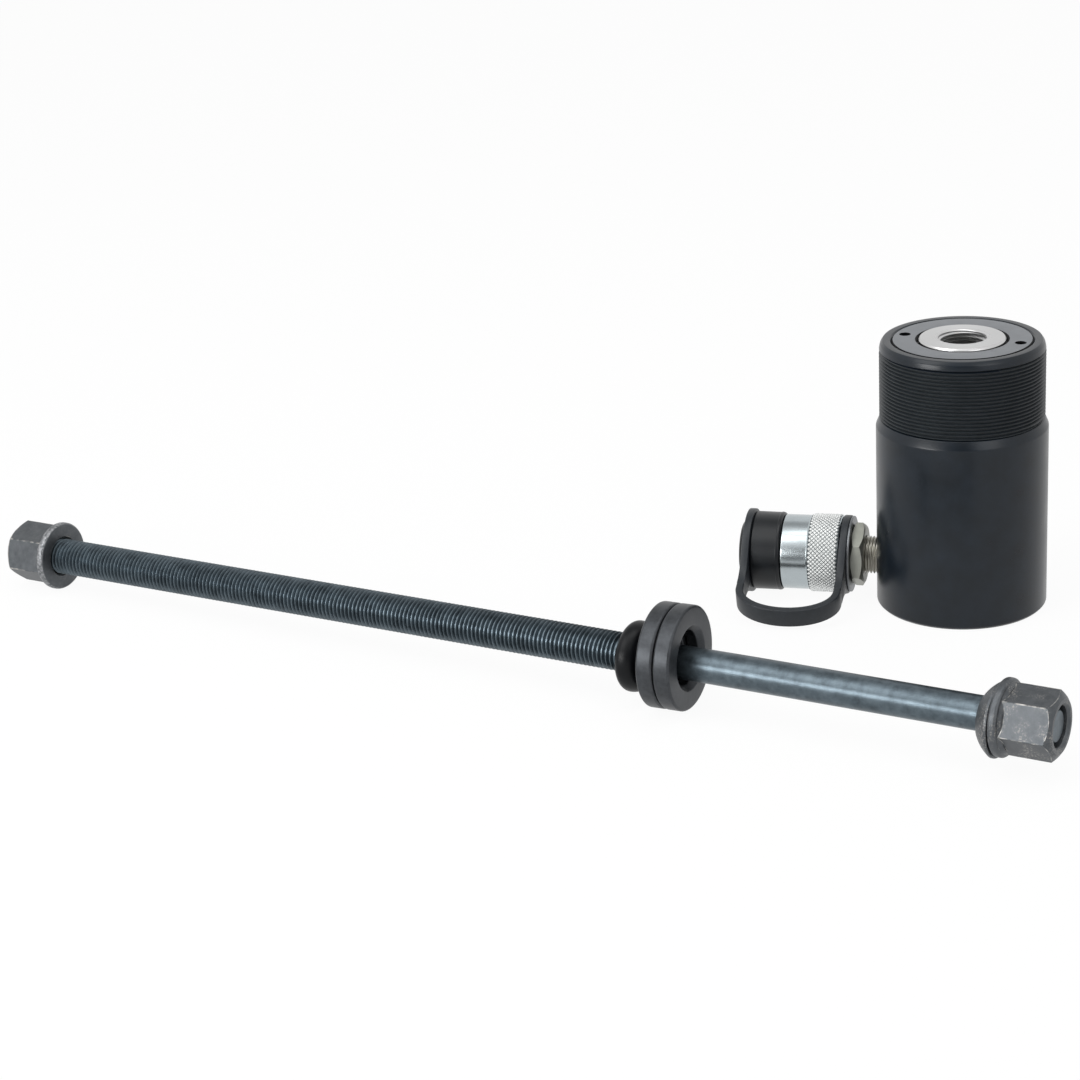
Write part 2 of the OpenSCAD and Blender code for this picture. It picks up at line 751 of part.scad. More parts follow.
// Flat eyelet that narrows to the strap's band. The sides leave the ring a little inside its tangents.
module eyelet(ring_r, hole_r, low) {
    side_turn = 5;
    narrow = [flare_reach, strap_w / 2];
    leave = atan2(narrow[1], narrow[0]) + acos(ring_r / norm(narrow)) + side_turn;
    wide = ring_r * [cos(leave), sin(leave)];
    rotate([0, 0, -90 - loop_drop])
        translate([0, 0, low])
            linear_extrude(height = strap_t)
                difference() {
                    union() {
                        circle(r = ring_r);
                        polygon([wide, [wide[0], -wide[1]], [narrow[0], -narrow[1]], narrow]);
                    }
                    circle(r = hole_r);
                }
}

// Flat moulded strap with an eyelet at each end, bent into a loop beside the coupler
module cap_strap() {
    half_t = strap_t / 2;
    cap_mid = cap_eyelet_s + half_t;
    neck_mid = neck_eyelet_s + half_t;
    middle = (cap_mid + neck_mid) / 2;
    half_span = (cap_mid - neck_mid) / 2;
    leg_end = loop_reach - loop_bend - half_t;
    root = (cap_neck_d + cap_eyelet_d) / 4;
    bend_steps = 24;
    outer = [for (i = [0 : bend_steps]) let (a = 180 * i / bend_steps)
        [leg_end + (loop_bend + half_t) * sin(a), middle + (half_span + half_t) * cos(a)]];
    inner = [for (i = [bend_steps : -1 : 0]) let (a = 180 * i / bend_steps)
        [leg_end + (loop_bend - half_t) * sin(a), middle + (half_span - half_t) * cos(a)]];
    color("#26282a")
    on_coupler() {
        eyelet(cap_eyelet_d / 2, cap_neck_d / 2 + face_gap, cap_eyelet_s);
        eyelet(neck_eyelet_d / 2, neck_d / 2 + face_gap, neck_eyelet_s);
        rotate([0, 0, -90 - loop_drop])
            rotate([90, 0, 0])
                linear_extrude(height = strap_w, center = true)
                    polygon(concat([[root, middle + half_span + half_t]], outer,
                        [[root, middle - half_span - half_t], [root, middle - half_span + half_t]], inner,
                        [[root, middle + half_span - half_t]]));
    }
}

// Draw spindle: a long thread, a smooth shank and a short thread
module spindle() {
    step = screw_r - shank_r;
    short_a = spindle_len - short_thread_len;
    color("#3b464b")
    on_spindle()
        rotate_extrude()
            polygon(concat(
                [[0, 0], [screw_r - spindle_bevel, 0]],
                thread(screw_r, spindle_depth, spindle_pitch, spindle_bevel, long_thread_len - step),
                [[shank_r, long_thread_len], [shank_r, short_a - step]],
                thread(screw_r, spindle_depth, spindle_pitch, short_a, spindle_len - spindle_bevel),
                [[screw_r - spindle_bevel, spindle_len], [0, spindle_len]]));
}

// Hexagon nut with a round collar, bearing face at height 0 and hexagon above it
module collar_nut(turn) {
    corner_r = nut_af / 2 / cos(30);
    collar_r = nut_collar_d / 2;
    round_r = nut_collar_round;
    wide_r = corner_r + round_r;
    end_bevel = (wide_r - nut_end_r) * tan(nut_end_slope);
    difference() {
        union() {
            intersection() {
                rotate([0, 0, turn])
                    cylinder(r = corner_r, h = nut_h, $fn = 6);
                rotate_extrude()
                    polygon([[0, 0], [wide_r, 0], [wide_r, nut_h - end_bevel], [nut_end_r, nut_h],
                        [0, nut_h]]);
            }
            rotate_extrude() {
                polygon([[0, 0], [collar_r - round_r, 0], [collar_r, round_r],
                    [collar_r, nut_collar_t - 2 * round_r], [collar_r - round_r, nut_collar_t - round_r],
                    [corner_r - round_r, nut_collar_t], [0, nut_collar_t]]);
                for (z = [round_r, nut_collar_t - 2 * round_r])
                    translate([collar_r - round_r, z])
                        circle(r = round_r, $fn = 32);
            }
        }
        translate([0, 0, -nut_h])
            cylinder(r = nut_bore_r, h = 3 * nut_h);
        translate([0, 0, nut_h - nut_mouth_bevel])
            cylinder(r1 = nut_bore_r, r2 = nut_bore_r + 2 * nut_mouth_bevel, h = 2 * nut_mouth_bevel);
        translate([0, 0, -nut_mouth_bevel])
            cylinder(r1 = nut_bore_r + 2 * nut_mouth_bevel, r2 = nut_bore_r, h = 2 * nut_mouth_bevel);
    }
}

// Collar nut on the far end of the long thread, bearing face towards the rings
module far_nut() {
    color("#4b4e51")
    on_spindle()
        translate([0, 0, far_face_a])
            rotate([180, 0, 0])
                collar_nut(far_nut_turn);
}

// Collar nut on the short thread, bearing face towards the ball washer
module near_nut() {
    color("#4b4e51")
    on_spindle()
        translate([0, 0, near_face_a])
            collar_nut(near_nut_turn);
}

// Rubber ring that hangs on the shank beside the long thread
module rubber_ring() {
    color("#1b1c1d")
    on_spindle()
        translate([rubber_drop, 0, rubber_a])
            rotate_extrude()
                translate([(rubber_id + rubber_cord) / 2, 0])
                    circle(d = rubber_cord, $fn = 48);
}

// Thick steel ring with bevelled edges, from height 0 to its own thickness
module thick_ring(bore_radius, front_bevel) {
    r = ring_d / 2;
    rotate_extrude()
        polygon([[bore_radius + ring_bevel, 0], [r - ring_bevel, 0], [r, ring_bevel],
            [r, ring_t - ring_bevel], [r - ring_bevel, ring_t], [bore_radius + front_bevel, ring_t],
            [bore_radius, ring_t - front_bevel], [bore_radius, ring_bevel]]);
}

// Place on the shank for a ring of the pair, which stands turned a little about the upright
module ring_stand(start) {
    on_spindle()
        translate([-ring_rise, 0, pair_a])
            rotate([-ring_yaw, 0, 0])
                translate([0, 0, start - pair_a])
                    children();
}

// Ring that carries the shank in its bore and stands on the ground
module rear_ring() {
    color("#4d4e50")
    ring_stand(rear_a)
        thick_ring(rear_bore_d / 2, ring_bevel);
}

// Ring in front of it, with a wider bore and a deep bevel at its mouth
module front_ring() {
    color("#4d4e50")
    ring_stand(front_a)
        thick_ring(front_bore_d / 2, front_mouth);
}

// Washer with a domed side away from the nut
module ball_washer() {
    washer_r = washer_d / 2;
    flat_depth = sqrt(pow(washer_ball_r, 2) - pow(washer_r, 2));
    edge_t = washer_t / 6;
    color("#46484b")
    on_spindle()
        translate([washer_drop, 0, washer_a])
        difference() {
            intersection() {
                cylinder(r = washer_r, h = washer_t);
                translate([0, 0, washer_t - edge_t + flat_depth])
                    sphere(r = washer_ball_r);
            }
            translate([0, 0, -washer_t])
                cylinder(d = washer_bore_d, h = 3 * washer_t);
        }
}

cylinder_body();
center_tube();
tube_seal();
plunger();
guide_ring();
piston_seal();
backup_ring();
inner_seal();
return_spring();
gland_nut();
gland_bush();
wiper_ring();
port_nipple();
coupler_body();
neck_disc();
snap_ring();
valve_seat();
valve_ball();
valve_spring();
front_seal();
knurled_collar();
dust_cap();
cap_strap();
spindle();
far_nut();
rubber_ring();
rear_ring();
front_ring();
ball_washer();
near_nut();
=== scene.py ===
import math

import bmesh
import bpy
from mathutils import Matrix, Vector


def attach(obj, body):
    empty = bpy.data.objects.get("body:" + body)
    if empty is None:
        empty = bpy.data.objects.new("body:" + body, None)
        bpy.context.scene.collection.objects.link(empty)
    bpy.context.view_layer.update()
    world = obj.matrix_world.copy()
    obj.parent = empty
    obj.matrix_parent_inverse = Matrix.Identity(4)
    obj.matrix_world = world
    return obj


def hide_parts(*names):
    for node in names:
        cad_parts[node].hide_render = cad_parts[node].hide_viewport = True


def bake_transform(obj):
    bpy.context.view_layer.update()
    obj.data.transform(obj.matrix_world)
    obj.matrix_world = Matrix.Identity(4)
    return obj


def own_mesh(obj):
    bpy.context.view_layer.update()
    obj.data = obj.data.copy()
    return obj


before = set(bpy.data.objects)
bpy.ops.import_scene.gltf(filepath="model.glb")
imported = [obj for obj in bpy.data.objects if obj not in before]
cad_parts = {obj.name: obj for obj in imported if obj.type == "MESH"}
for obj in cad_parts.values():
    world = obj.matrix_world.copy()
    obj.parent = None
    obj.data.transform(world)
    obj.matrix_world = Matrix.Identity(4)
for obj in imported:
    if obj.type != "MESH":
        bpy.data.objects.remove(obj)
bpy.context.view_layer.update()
bpy.context.scene.view_settings.view_transform = "Standard"


# Barrel
# One steel bar turned outside and bored from the top, with the base left in one piece, then blackened.
# Its upper end carries a fine mounting thread between a bevelled shoulder and a bevelled rim.

def linear(code):
    """An sRGB hex colour as linear RGBA."""
    parts = [int(code[i:i + 2], 16) / 255 for i in (1, 3, 5)]
    return [c / 12.92 if c <= 0.04045 else ((c + 0.055) / 1.055) ** 2.4 for c in parts] + [1]


def put(tree, kind, settings=None, inputs=None):
    """Adds a node. An input that is given as a socket is linked, any other value is written on it."""
    made = tree.nodes.new(kind)
    for name, value in (settings or {}).items():
        setattr(made, name, value)
    for name, value in (inputs or {}).items():
        if isinstance(value, bpy.types.NodeSocket):
            tree.links.new(value, made.inputs[name])
        else:
            made.inputs[name].default_value = value
    return made


def figure(tree, operation, *terms):
    """The result of a math node."""
    return put(tree, "ShaderNodeMath", {"operation": operation}, dict(enumerate(terms))).outputs[0]


def surface(name, **constants):
    """A new material with constants on its shader: material, tree, shader, the piece's own coordinates."""
    material = bpy.data.materials.new(name)
    material.use_nodes = True
    tree = material.node_tree
    shader = tree.nodes["Principled BSDF"]
    for label, value in constants.items():
        shader.inputs[label.replace("_", " ")].default_value = value
    return material, tree, shader, put(tree, "ShaderNodeTexCoord").outputs["Object"]


def noise(tree, where, width, detail=2.0, roughness=0.5):
    """A noise from 0 to 1, in patches about as wide as this in metres."""
    return put(tree, "ShaderNodeTexNoise", None, {
        "Vector": where, "Scale": 1 / width, "Detail": detail, "Roughness": roughness}).outputs["Fac"]


def tinted(tree, shader, share, low, high):
    """Lets the base colour run between two hex colours. The first may also be a socket with a colour."""
    start = linear(low) if isinstance(low, str) else low
    colour = put(tree, "ShaderNodeMix", {"data_type": "RGBA"}, {
        "Factor": share, 6: start, 7: linear(high)}).outputs[2]
    tree.links.new(colour, shader.inputs["Base Color"])
    return colour


def roughened(tree, shader, share, low, high):
    """Lets the roughness run between two values."""
    sheen = put(tree, "ShaderNodeMapRange", None, {"Value": share, "To Min": low, "To Max": high}).outputs[0]
    tree.links.new(sheen, shader.inputs["Roughness"])


def embossed(tree, shader, height, strength, depth):
    """Gives the surface a fine relief, with its depth in metres."""
    relief = put(tree, "ShaderNodeBump", None, {
        "Height": height, "Strength": strength, "Distance": depth}).outputs[0]
    tree.links.new(relief, shader.inputs["Normal"])


def eased_outline(corners):
    """A closed outline of (radius, height, edge rounding) in millimetres, with each edge rounded off."""
    outline = []
    for i, (r, z, ease) in enumerate(corners):
        here = Vector((r, z))
        before, after = (Vector(corners[k][:2]) - here for k in (i - 1, (i + 1) % len(corners)))
        cut = min(ease, 0.45 * before.length, 0.45 * after.length)
        if cut < 0.01:
            outline.append(here)
            continue
        first, last = here + before.normalized() * cut, here + after.normalized() * cut
        for t in (0, 0.25, 0.5, 0.75, 1):
            outline.append(first * (1 - t) ** 2 + here * 2 * t * (1 - t) + last * t ** 2)
    return outline


def finished(name, mesh_edit, place, crease=32):
    """Turns an edit mesh into an object at the origin, with its place in its mesh and sharp edges marked."""
    bmesh.ops.remove_doubles(mesh_edit, verts=mesh_edit.verts, dist=1e-7)
    bmesh.ops.recalc_face_normals(mesh_edit, faces=mesh_edit.faces)
    mesh = bpy.data.meshes.new(name)
    mesh_edit.to_mesh(mesh)
    mesh_edit.free()
    mesh.transform(place)
    mesh.shade_smooth()
    mesh.set_sharp_from_angle(angle=math.radians(crease))
    piece = bpy.data.objects.new(name, mesh)
    bpy.context.scene.collection.objects.link(piece)
    return piece


def turned(name, corners, place=Matrix(), steps=128):
    """A solid of revolution about its own Z axis, from (radius, height, edge rounding), set in place."""
    mesh_edit = bmesh.new()
    turn = 2 * math.pi / steps
    rings = []
    for r, z in eased_outline(corners):
        count = 1 if r < 1e-6 else steps
        rings.append([])
        for k in range(count):
            point = (r * math.cos(k * turn) / 1000, r * math.sin(k * turn) / 1000, z / 1000)
            rings[-1].append(mesh_edit.verts.new(point))
    for low, high in zip(rings, rings[1:] + rings[:1]):
        for k in range(steps):
            n = (k + 1) % steps
            quad = [low[k % len(low)], low[n % len(low)], high[n % len(high)], high[k % len(high)]]
            corner_set = list(dict.fromkeys(quad))
            if len(corner_set) > 2:
                mesh_edit.faces.new(corner_set)
    return finished(name, mesh_edit, place)


def tree_with(name, sizes, counts):
    """A node tree that takes a mesh, named sizes and counts, and a finish, with the sockets of its inputs."""
    tree = bpy.data.node_groups.new(name, "GeometryNodeTree")
    tree.interface.new_socket("Geometry", in_out="INPUT", socket_type="NodeSocketGeometry")
    for kind, values in (("NodeSocketFloat", sizes), ("NodeSocketInt", counts)):
        for label, value in values.items():
            tree.interface.new_socket(label, in_out="INPUT", socket_type=kind).default_value = value
    tree.interface.new_socket("Finish", in_out="INPUT", socket_type="NodeSocketMaterial")
    tree.interface.new_socket("Geometry", in_out="OUTPUT", socket_type="NodeSocketGeometry")
    return tree, put(tree, "NodeGroupInput").outputs


def joined(tree, *parts):
    """The parts as one mesh."""
    join = put(tree, "GeometryNodeJoinGeometry")
    for part in parts:
        tree.links.new(part, join.inputs[0])
    return put(tree, "GeometryNodeRealizeInstances", None, {"Geometry": join.outputs[0]}).outputs[0]


def thread_tree():
    """Nodes that wind a thread's ridge about Z and join it to the turned core that carries it."""
    tree, given = tree_with("thread_ridge", {
        "Core radius": 0.008, "Depth": 0.0012, "Crest width": 0.0003, "Foot width": 0.003, "Pitch": 0.002,
        "Turns": 10.0, "Start": 0.0, "Facing": math.pi / 2, "Run-out": 0.01}, {"Steps": 48})
    height = figure(tree, "MULTIPLY", given["Pitch"], given["Turns"])
    wound = put(tree, "GeometryNodeCurveSpiral", None, {
        "Resolution": given["Steps"], "Rotations": given["Turns"], "Start Radius": given["Core radius"],
        "End Radius": given["Core radius"], "Height": height}).outputs[0]
    upright = put(tree, "GeometryNodeSetCurveNormal", {"mode": "Z_UP"}, {"Curve": wound}).outputs[0]
    along = put(tree, "GeometryNodeSplineParameter").outputs["Factor"]
    nearest = figure(tree, "MINIMUM", along, figure(tree, "SUBTRACT", 1.0, along))
    grow = put(tree, "ShaderNodeMapRange", None, {"Value": nearest, "From Max": given["Run-out"]}).outputs[0]
    # The section's middle lies on the core: its foot is sunk in it, and its crest stands out by the depth
    section = put(tree, "GeometryNodeCurvePrimitiveQuadrilateral", {"mode": "TRAPEZOID"}, {
        "Height": figure(tree, "MULTIPLY", given["Depth"], 2.0), "Bottom Width": given["Foot width"],
        "Top Width": given["Crest width"], "Offset": 0.0}).outputs[0]
    facing = put(tree, "ShaderNodeCombineXYZ", None, {"Z": given["Facing"]}).outputs[0]
    faced = put(tree, "GeometryNodeTransform", None, {"Geometry": section, "Rotation": facing}).outputs[0]
    ridge = put(tree, "GeometryNodeCurveToMesh", None, {
        "Curve": upright, "Profile Curve": faced, "Scale": grow, "Fill Caps": True}).outputs[0]
    lift = put(tree, "ShaderNodeCombineXYZ", None, {"Z": given["Start"]}).outputs[0]
    seated = put(tree, "GeometryNodeTransform", None, {"Geometry": ridge, "Translation": lift}).outputs[0]
    coated = put(tree, "GeometryNodeSetMaterial", None, {
        "Geometry": joined(tree, seated, given["Geometry"]), "Material": given["Finish"]}).outputs[0]
    put(tree, "NodeGroupOutput", None, {"Geometry": coated})
    return tree


def kept(piece, modifier, place, crease):
    """Keeps what a modifier makes of a piece as a plain mesh, and sets it in place."""
    bpy.context.view_layer.update()
    result = bpy.data.meshes.new_from_object(piece.evaluated_get(bpy.context.evaluated_depsgraph_get()))
    piece.modifiers.remove(modifier)
    plain = piece.data
    piece.data = result
    bpy.data.meshes.remove(plain)
    result.name = piece.name
    result.transform(place)
    result.shade_smooth()
    result.set_sharp_from_angle(angle=math.radians(crease))


def worked(piece, tree, place, crease, **sizes):
    """Runs a node tree on a piece with the sizes that are given, and sets the result in place."""
    worker = piece.modifiers.new(tree.name, "NODES")
    worker.node_group = tree
    for item in tree.interface.items_tree:
        label = item.name.replace(" ", "_").replace("-", "_")
        if item.item_type == "SOCKET" and item.in_out == "INPUT" and label in sizes:
            worker[item.identifier] = sizes[label]
    kept(piece, worker, place, crease)


def off_axis(point):
    """A point's distance from the Z axis."""
    return math.hypot(point[0], point[1])


# Blackened steel: a thin black oxide, oiled. Very dark and satin, so pale surroundings show only towards its
# edges. Oil leaves cloudy patches about 9 mm wide, and the turning tool leaves rings about 0.4 mm apart.
blackened, tree, shader, here = surface("blackened_steel_oiled", Metallic=0.0, Specular_IOR_Level=0.3)
clouds = noise(tree, here, 0.009, 4.0)
tinted(tree, shader, clouds, "#0b1014", "#19212a")
roughened(tree, shader, clouds, 0.24, 0.36)
stretch = put(tree, "ShaderNodeMapping", None, {"Vector": here, "Scale": (60, 60, 1 / 0.0004)}).outputs[0]
embossed(tree, shader, noise(tree, stretch, 1), 0.12, 0.00004)

# The thread is painted paler than the barrel, a painted light that lifts the shade in its grooves. It is also
# a little rougher.
thread_painted_light, tree, shader, here = surface("rubbed_black_thread", Roughness=0.4, Specular_IOR_Level=0.3)
tinted(tree, shader, noise(tree, here, 0.006, 4.0), "#171c1f", "#262b2f")

# Sizes in millimetres. An outline's corners are (radius, height, edge rounding).
body_r, body_h, foot_bevel = 36.4, 118, 1.2
shoulder_low, shoulder_high = 80.3, 83.85
core_r, crest_r, thread_low, thread_high = 33.95, 34.9, 84.2, 113.8
fine_pitch = 25.4 / 16
rim_low, rim_mid_r, rim_mid, rim_r = 114.3, 34.4, 116.5, 33.4
joint_r, joint_low = 30.4, 117.4
gland_socket_r, chamber_r, tube_bore_r, flange_r = 29.8, 27, 12.8, 15.6
gland_seat, chamber_floor, flange_t = 105, 13, 4.1
thread_ridge = thread_tree()
barrel = turned("barrel", [
    (flange_r, 0, 0), (body_r - foot_bevel, 0, 0.2), (body_r, foot_bevel, 0.5), (body_r, shoulder_low, 0.5),
    (crest_r, shoulder_high, 0.25), (core_r, thread_low, 0), (core_r, thread_high, 0),
    (crest_r, rim_low, 0.2), (rim_mid_r, rim_mid, 0.4), (rim_r, body_h, 0.3), (joint_r, body_h, 0.15),
    (gland_socket_r, joint_low, 0), (gland_socket_r, gland_seat, 0), (chamber_r, gland_seat, 0),
    (chamber_r, chamber_floor, 0), (tube_bore_r, chamber_floor, 0), (tube_bore_r, flange_t, 0),
    (flange_r, flange_t, 0)], steps=192)
worked(barrel, thread_ridge, Matrix(), 32, Core_radius=core_r / 1000, Depth=0.000974, Crest_width=0.0002,
       Foot_width=0.00245, Pitch=fine_pitch / 1000, Turns=18.5, Start=0.0843, Run_out=0.006, Steps=160,
       Finish=blackened)
barrel.data.materials.append(thread_painted_light)
# The thread band takes the paler finish, a painted light.
for face in barrel.data.polygons:
    reach, level = off_axis(face.center) * 1000, face.center[2] * 1000
    if thread_low < level < thread_high and reach > core_r - 0.45:
        face.material_index = len(barrel.data.materials) - 1
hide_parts("cylinder_body")
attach(barrel, "barrel")


# Centre tube and its seal
# A drawn and ground steel tube that keeps the spindle away from the oil. Its foot has a flange let into the
# base, and a rubber ring in the base seals it.
ground, tree, shader, here = surface("ground_steel", Metallic=1.0)
shader.inputs["Base Color"].default_value = linear("#9a9da0")
stretch = put(tree, "ShaderNodeMapping", None, {"Vector": here, "Scale": (200, 200, 1 / 0.0006)}).outputs[0]
roughened(tree, shader, noise(tree, stretch, 1, 3.0), 0.26, 0.42)

# Nitrile rubber: moulded, dull black, with a fine bloom in patches about 3 mm wide.
rubber, tree, shader, here = surface("nitrile_rubber", Roughness=0.36, Specular_IOR_Level=0.16)
tinted(tree, shader, noise(tree, here, 0.003, 3.0), "#07080a", "#0f1114")


def coat(node, material):
    """Gives a CAD node one material."""
    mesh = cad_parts[node].data
    mesh.materials.clear()
    mesh.materials.append(material)


coat("center_tube", ground)
coat("tube_seal", rubber)


# Plunger
# A hollow rod and piston head turned from one bar. The rod is ground bright, the mouth is tapped for a
# saddle, and the head carries the rings and seals below.
bright, tree, shader, here = surface("bright_machined_steel", Metallic=1.0, Anisotropic=0.6)
shader.inputs["Base Color"].default_value = linear("#c2c2c2")
# Facing cuts run round the axis, with a slightly different polish every 0.8 mm or so outwards
cuts = put(tree, "ShaderNodeTangent", {"direction_type": "RADIAL", "axis": "Z"}).outputs[0]
tree.links.new(cuts, shader.inputs["Tangent"])
spread = put(tree, "ShaderNodeSeparateXYZ", None, {"Vector": here}).outputs
flat = put(tree, "ShaderNodeCombineXYZ", None, {"X": spread[0], "Y": spread[1]}).outputs[0]
reach = put(tree, "ShaderNodeVectorMath", {"operation": "LENGTH"}, {0: flat}).outputs["Value"]
polish = put(tree, "ShaderNodeTexNoise", {"noise_dimensions": "1D"}, {
    "W": reach, "Scale": 1 / 0.0008, "Detail": 3.0}).outputs["Fac"]
roughened(tree, shader, polish, 0.24, 0.36)

rod_r, rod_bore_r, rod_bore_low, plunger_top = 18.3, 13.5, 38, 118.8
mouth_r, mouth_low, mouth_bevel = 10.15, 99.8, 0.4
head_r, head_bore_r, head_low, head_high = 26.92, 12.78, 22.5, 38.5
skirt_r, skirt_low = 21, 13.5
guide_r, guide_low, guide_high = 24.6, 24.3, 28.8
seal_r, seal_low, seal_high = 22.2, 30.5, 36.3
inner_r, inner_low, inner_high = 15.18, 26, 30
plunger = turned("plunger", [
    (head_bore_r, skirt_low, 0), (skirt_r, skirt_low, 0.4), (skirt_r, head_low, 0), (head_r, head_low, 0.3),
    (head_r, guide_low, 0), (guide_r, guide_low, 0), (guide_r, guide_high, 0), (head_r, guide_high, 0),
    (head_r, seal_low, 0), (seal_r, seal_low, 0), (seal_r, seal_high, 0), (head_r, seal_high, 0),
    (head_r, head_high, 0.3), (rod_r, head_high, 0), (rod_r, plunger_top - 0.9, 0.2),
    (rod_r - 0.6, plunger_top, 0.2), (mouth_r + mouth_bevel, plunger_top, 0.15),
    (mouth_r, plunger_top - mouth_bevel, 0.05), (mouth_r, mouth_low, 0), (rod_bore_r, mouth_low, 0),
    (rod_bore_r, rod_bore_low, 0), (head_bore_r, rod_bore_low, 0), (head_bore_r, inner_high, 0),
    (inner_r, inner_high, 0), (inner_r, inner_low, 0), (head_bore_r, inner_low, 0)])
worked(plunger, thread_ridge, Matrix(), 32, Core_radius=mouth_r / 1000, Depth=0.0009, Crest_width=0.0003,
       Foot_width=0.0022, Pitch=fine_pitch / 1000, Turns=10.9, Start=0.1003, Facing=-math.pi / 2,
       Run_out=0.02, Steps=64, Finish=bright)
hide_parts("plunger")
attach(plunger, "plunger")


# Piston rings
# A fabric-filled wear ring, a lip seal with its hard backup ring, and a seal on the centre tube.
# Each is sprung into a groove of the piston head.
seal_black, tree, shader, here = surface("moulded_polyurethane", Roughness=0.38)
tinted(tree, shader, noise(tree, here, 0.002), "#1b1f23", "#2a3036")

# Phenolic resin on cotton cloth: brown, with the cloth's threads about 0.5 mm apart.
wear_cloth, tree, shader, here = surface("phenolic_cloth", Roughness=0.55)
weave = put(tree, "ShaderNodeTexVoronoi", None, {"Vector": here, "Scale": 1 / 0.0005}).outputs["Distance"]
tinted(tree, shader, weave, "#4a3423", "#6d5238")

# Acetal: pale, waxy, turned.
acetal, tree, shader, here = surface("turned_acetal", Roughness=0.42)
tinted(tree, shader, noise(tree, here, 0.002), "#cbbf9e", "#ddd3b8")

coat("guide_ring", wear_cloth)
coat("piston_seal", seal_black)
coat("inner_seal", seal_black)
coat("backup_ring", acetal)


# Return spring
# Oil-tempered wire wound with closed ends. It sits round the rod, between the piston head and the gland.

def coil_tree():
    """Nodes that wind a round wire about Z, with closed turns at both ends and the rest evenly spread."""
    sizes = ("Mean radius", "Wire radius", "Turns", "Closed turns", "Span", "Start")
    tree, given = tree_with("wound_wire", dict.fromkeys(sizes, 1.0), dict.fromkeys(("Steps", "Sides"), 12))
    wound = put(tree, "GeometryNodeCurveSpiral", None, {
        "Resolution": given["Steps"], "Rotations": given["Turns"], "Start Radius": given["Mean radius"],
        "End Radius": given["Mean radius"], "Height": 0.0}).outputs[0]
    along = put(tree, "GeometryNodeSplineParameter").outputs["Factor"]
    turn = figure(tree, "MULTIPLY", along, given["Turns"])
    wire = figure(tree, "MULTIPLY", given["Wire radius"], 2.0)
    lead = figure(tree, "MULTIPLY", wire, given["Closed turns"])
    spread = figure(tree, "SUBTRACT", given["Span"], figure(tree, "MULTIPLY", lead, 2.0))
    late = figure(tree, "SUBTRACT", given["Turns"], given["Closed turns"])
    low = put(tree, "ShaderNodeMapRange", None, {
        "Value": turn, "From Max": given["Closed turns"], "To Max": lead}).outputs[0]
    mid = put(tree, "ShaderNodeMapRange", None, {
        "Value": turn, "From Min": given["Closed turns"], "From Max": late, "To Max": spread}).outputs[0]
    top = put(tree, "ShaderNodeMapRange", None, {
        "Value": turn, "From Min": late, "From Max": given["Turns"], "To Max": lead}).outputs[0]
    height = figure(tree, "ADD", figure(tree, "ADD", low, given["Start"]), figure(tree, "ADD", mid, top))
    rise = put(tree, "ShaderNodeCombineXYZ", None, {"Z": height}).outputs[0]
    raised = put(tree, "GeometryNodeSetPosition", None, {"Geometry": wound, "Offset": rise}).outputs[0]
    upright = put(tree, "GeometryNodeSetCurveNormal", {"mode": "Z_UP"}, {"Curve": raised}).outputs[0]
    section = put(tree, "GeometryNodeCurvePrimitiveCircle", {"mode": "RADIUS"}, {
        "Resolution": given["Sides"], "Radius": given["Wire radius"]}).outputs[0]
    wire_mesh = put(tree, "GeometryNodeCurveToMesh", None, {
        "Curve": upright, "Profile Curve": section, "Fill Caps": True}).outputs[0]
    coated = put(tree, "GeometryNodeSetMaterial", None, {
        "Geometry": joined(tree, wire_mesh), "Material": given["Finish"]}).outputs[0]
    put(tree, "NodeGroupOutput", None, {"Geometry": coated})
    return tree


# Oil-tempered spring wire: blue-grey, satin, with drawing streaks in patches about 2 mm wide.
spring_wire, tree, shader, here = surface("oil_tempered_wire", Metallic=1.0, Roughness=0.38)
tinted(tree, shader, noise(tree, here, 0.002, 3.0), "#5a5f64", "#7c8084")
wound_wire = coil_tree()


def coiled(name, place, **sizes):
    """A coil spring of round wire, set in place."""
    spring = bpy.data.objects.new(name, bpy.data.meshes.new(name))
    bpy.context.scene.collection.objects.link(spring)
    worked(spring, wound_wire, place, 60, Closed_turns=0.75, Finish=spring_wire, **sizes)
    return spring


return_spring = coiled("return_spring_wire", Matrix(), Mean_radius=0.0227, Wire_radius=0.0017, Turns=7.0,
                       Span=0.0629, Start=0.0403, Steps=48, Sides=12)
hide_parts("return_spring")
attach(return_spring, "barrel")
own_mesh(return_spring)


# Gland nut, bush and wiper
# A phosphated steel ring screwed into the top of the barrel. It stops the plunger, guides the rod with a
# bronze bush and holds a wiper under its lip. Two round holes take a pin spanner.
phosphated, tree, shader, here = surface("phosphated_steel", Metallic=0.75)
cloud = noise(tree, here, 0.006, 5.0)
tinted(tree, shader, cloud, "#6d7074", "#878a8e")
roughened(tree, shader, cloud, 0.4, 0.52)

# Painted shade: a dull near-black on the faces of the joints and in the spanner holes, where shade falls, in
# specks about 1 mm wide.
joint_painted_shade, tree, shader, here = surface("old_oil_film", Roughness=0.6, Specular_IOR_Level=0.1)
tinted(tree, shader, noise(tree, here, 0.001), "#050607", "#0e1012")

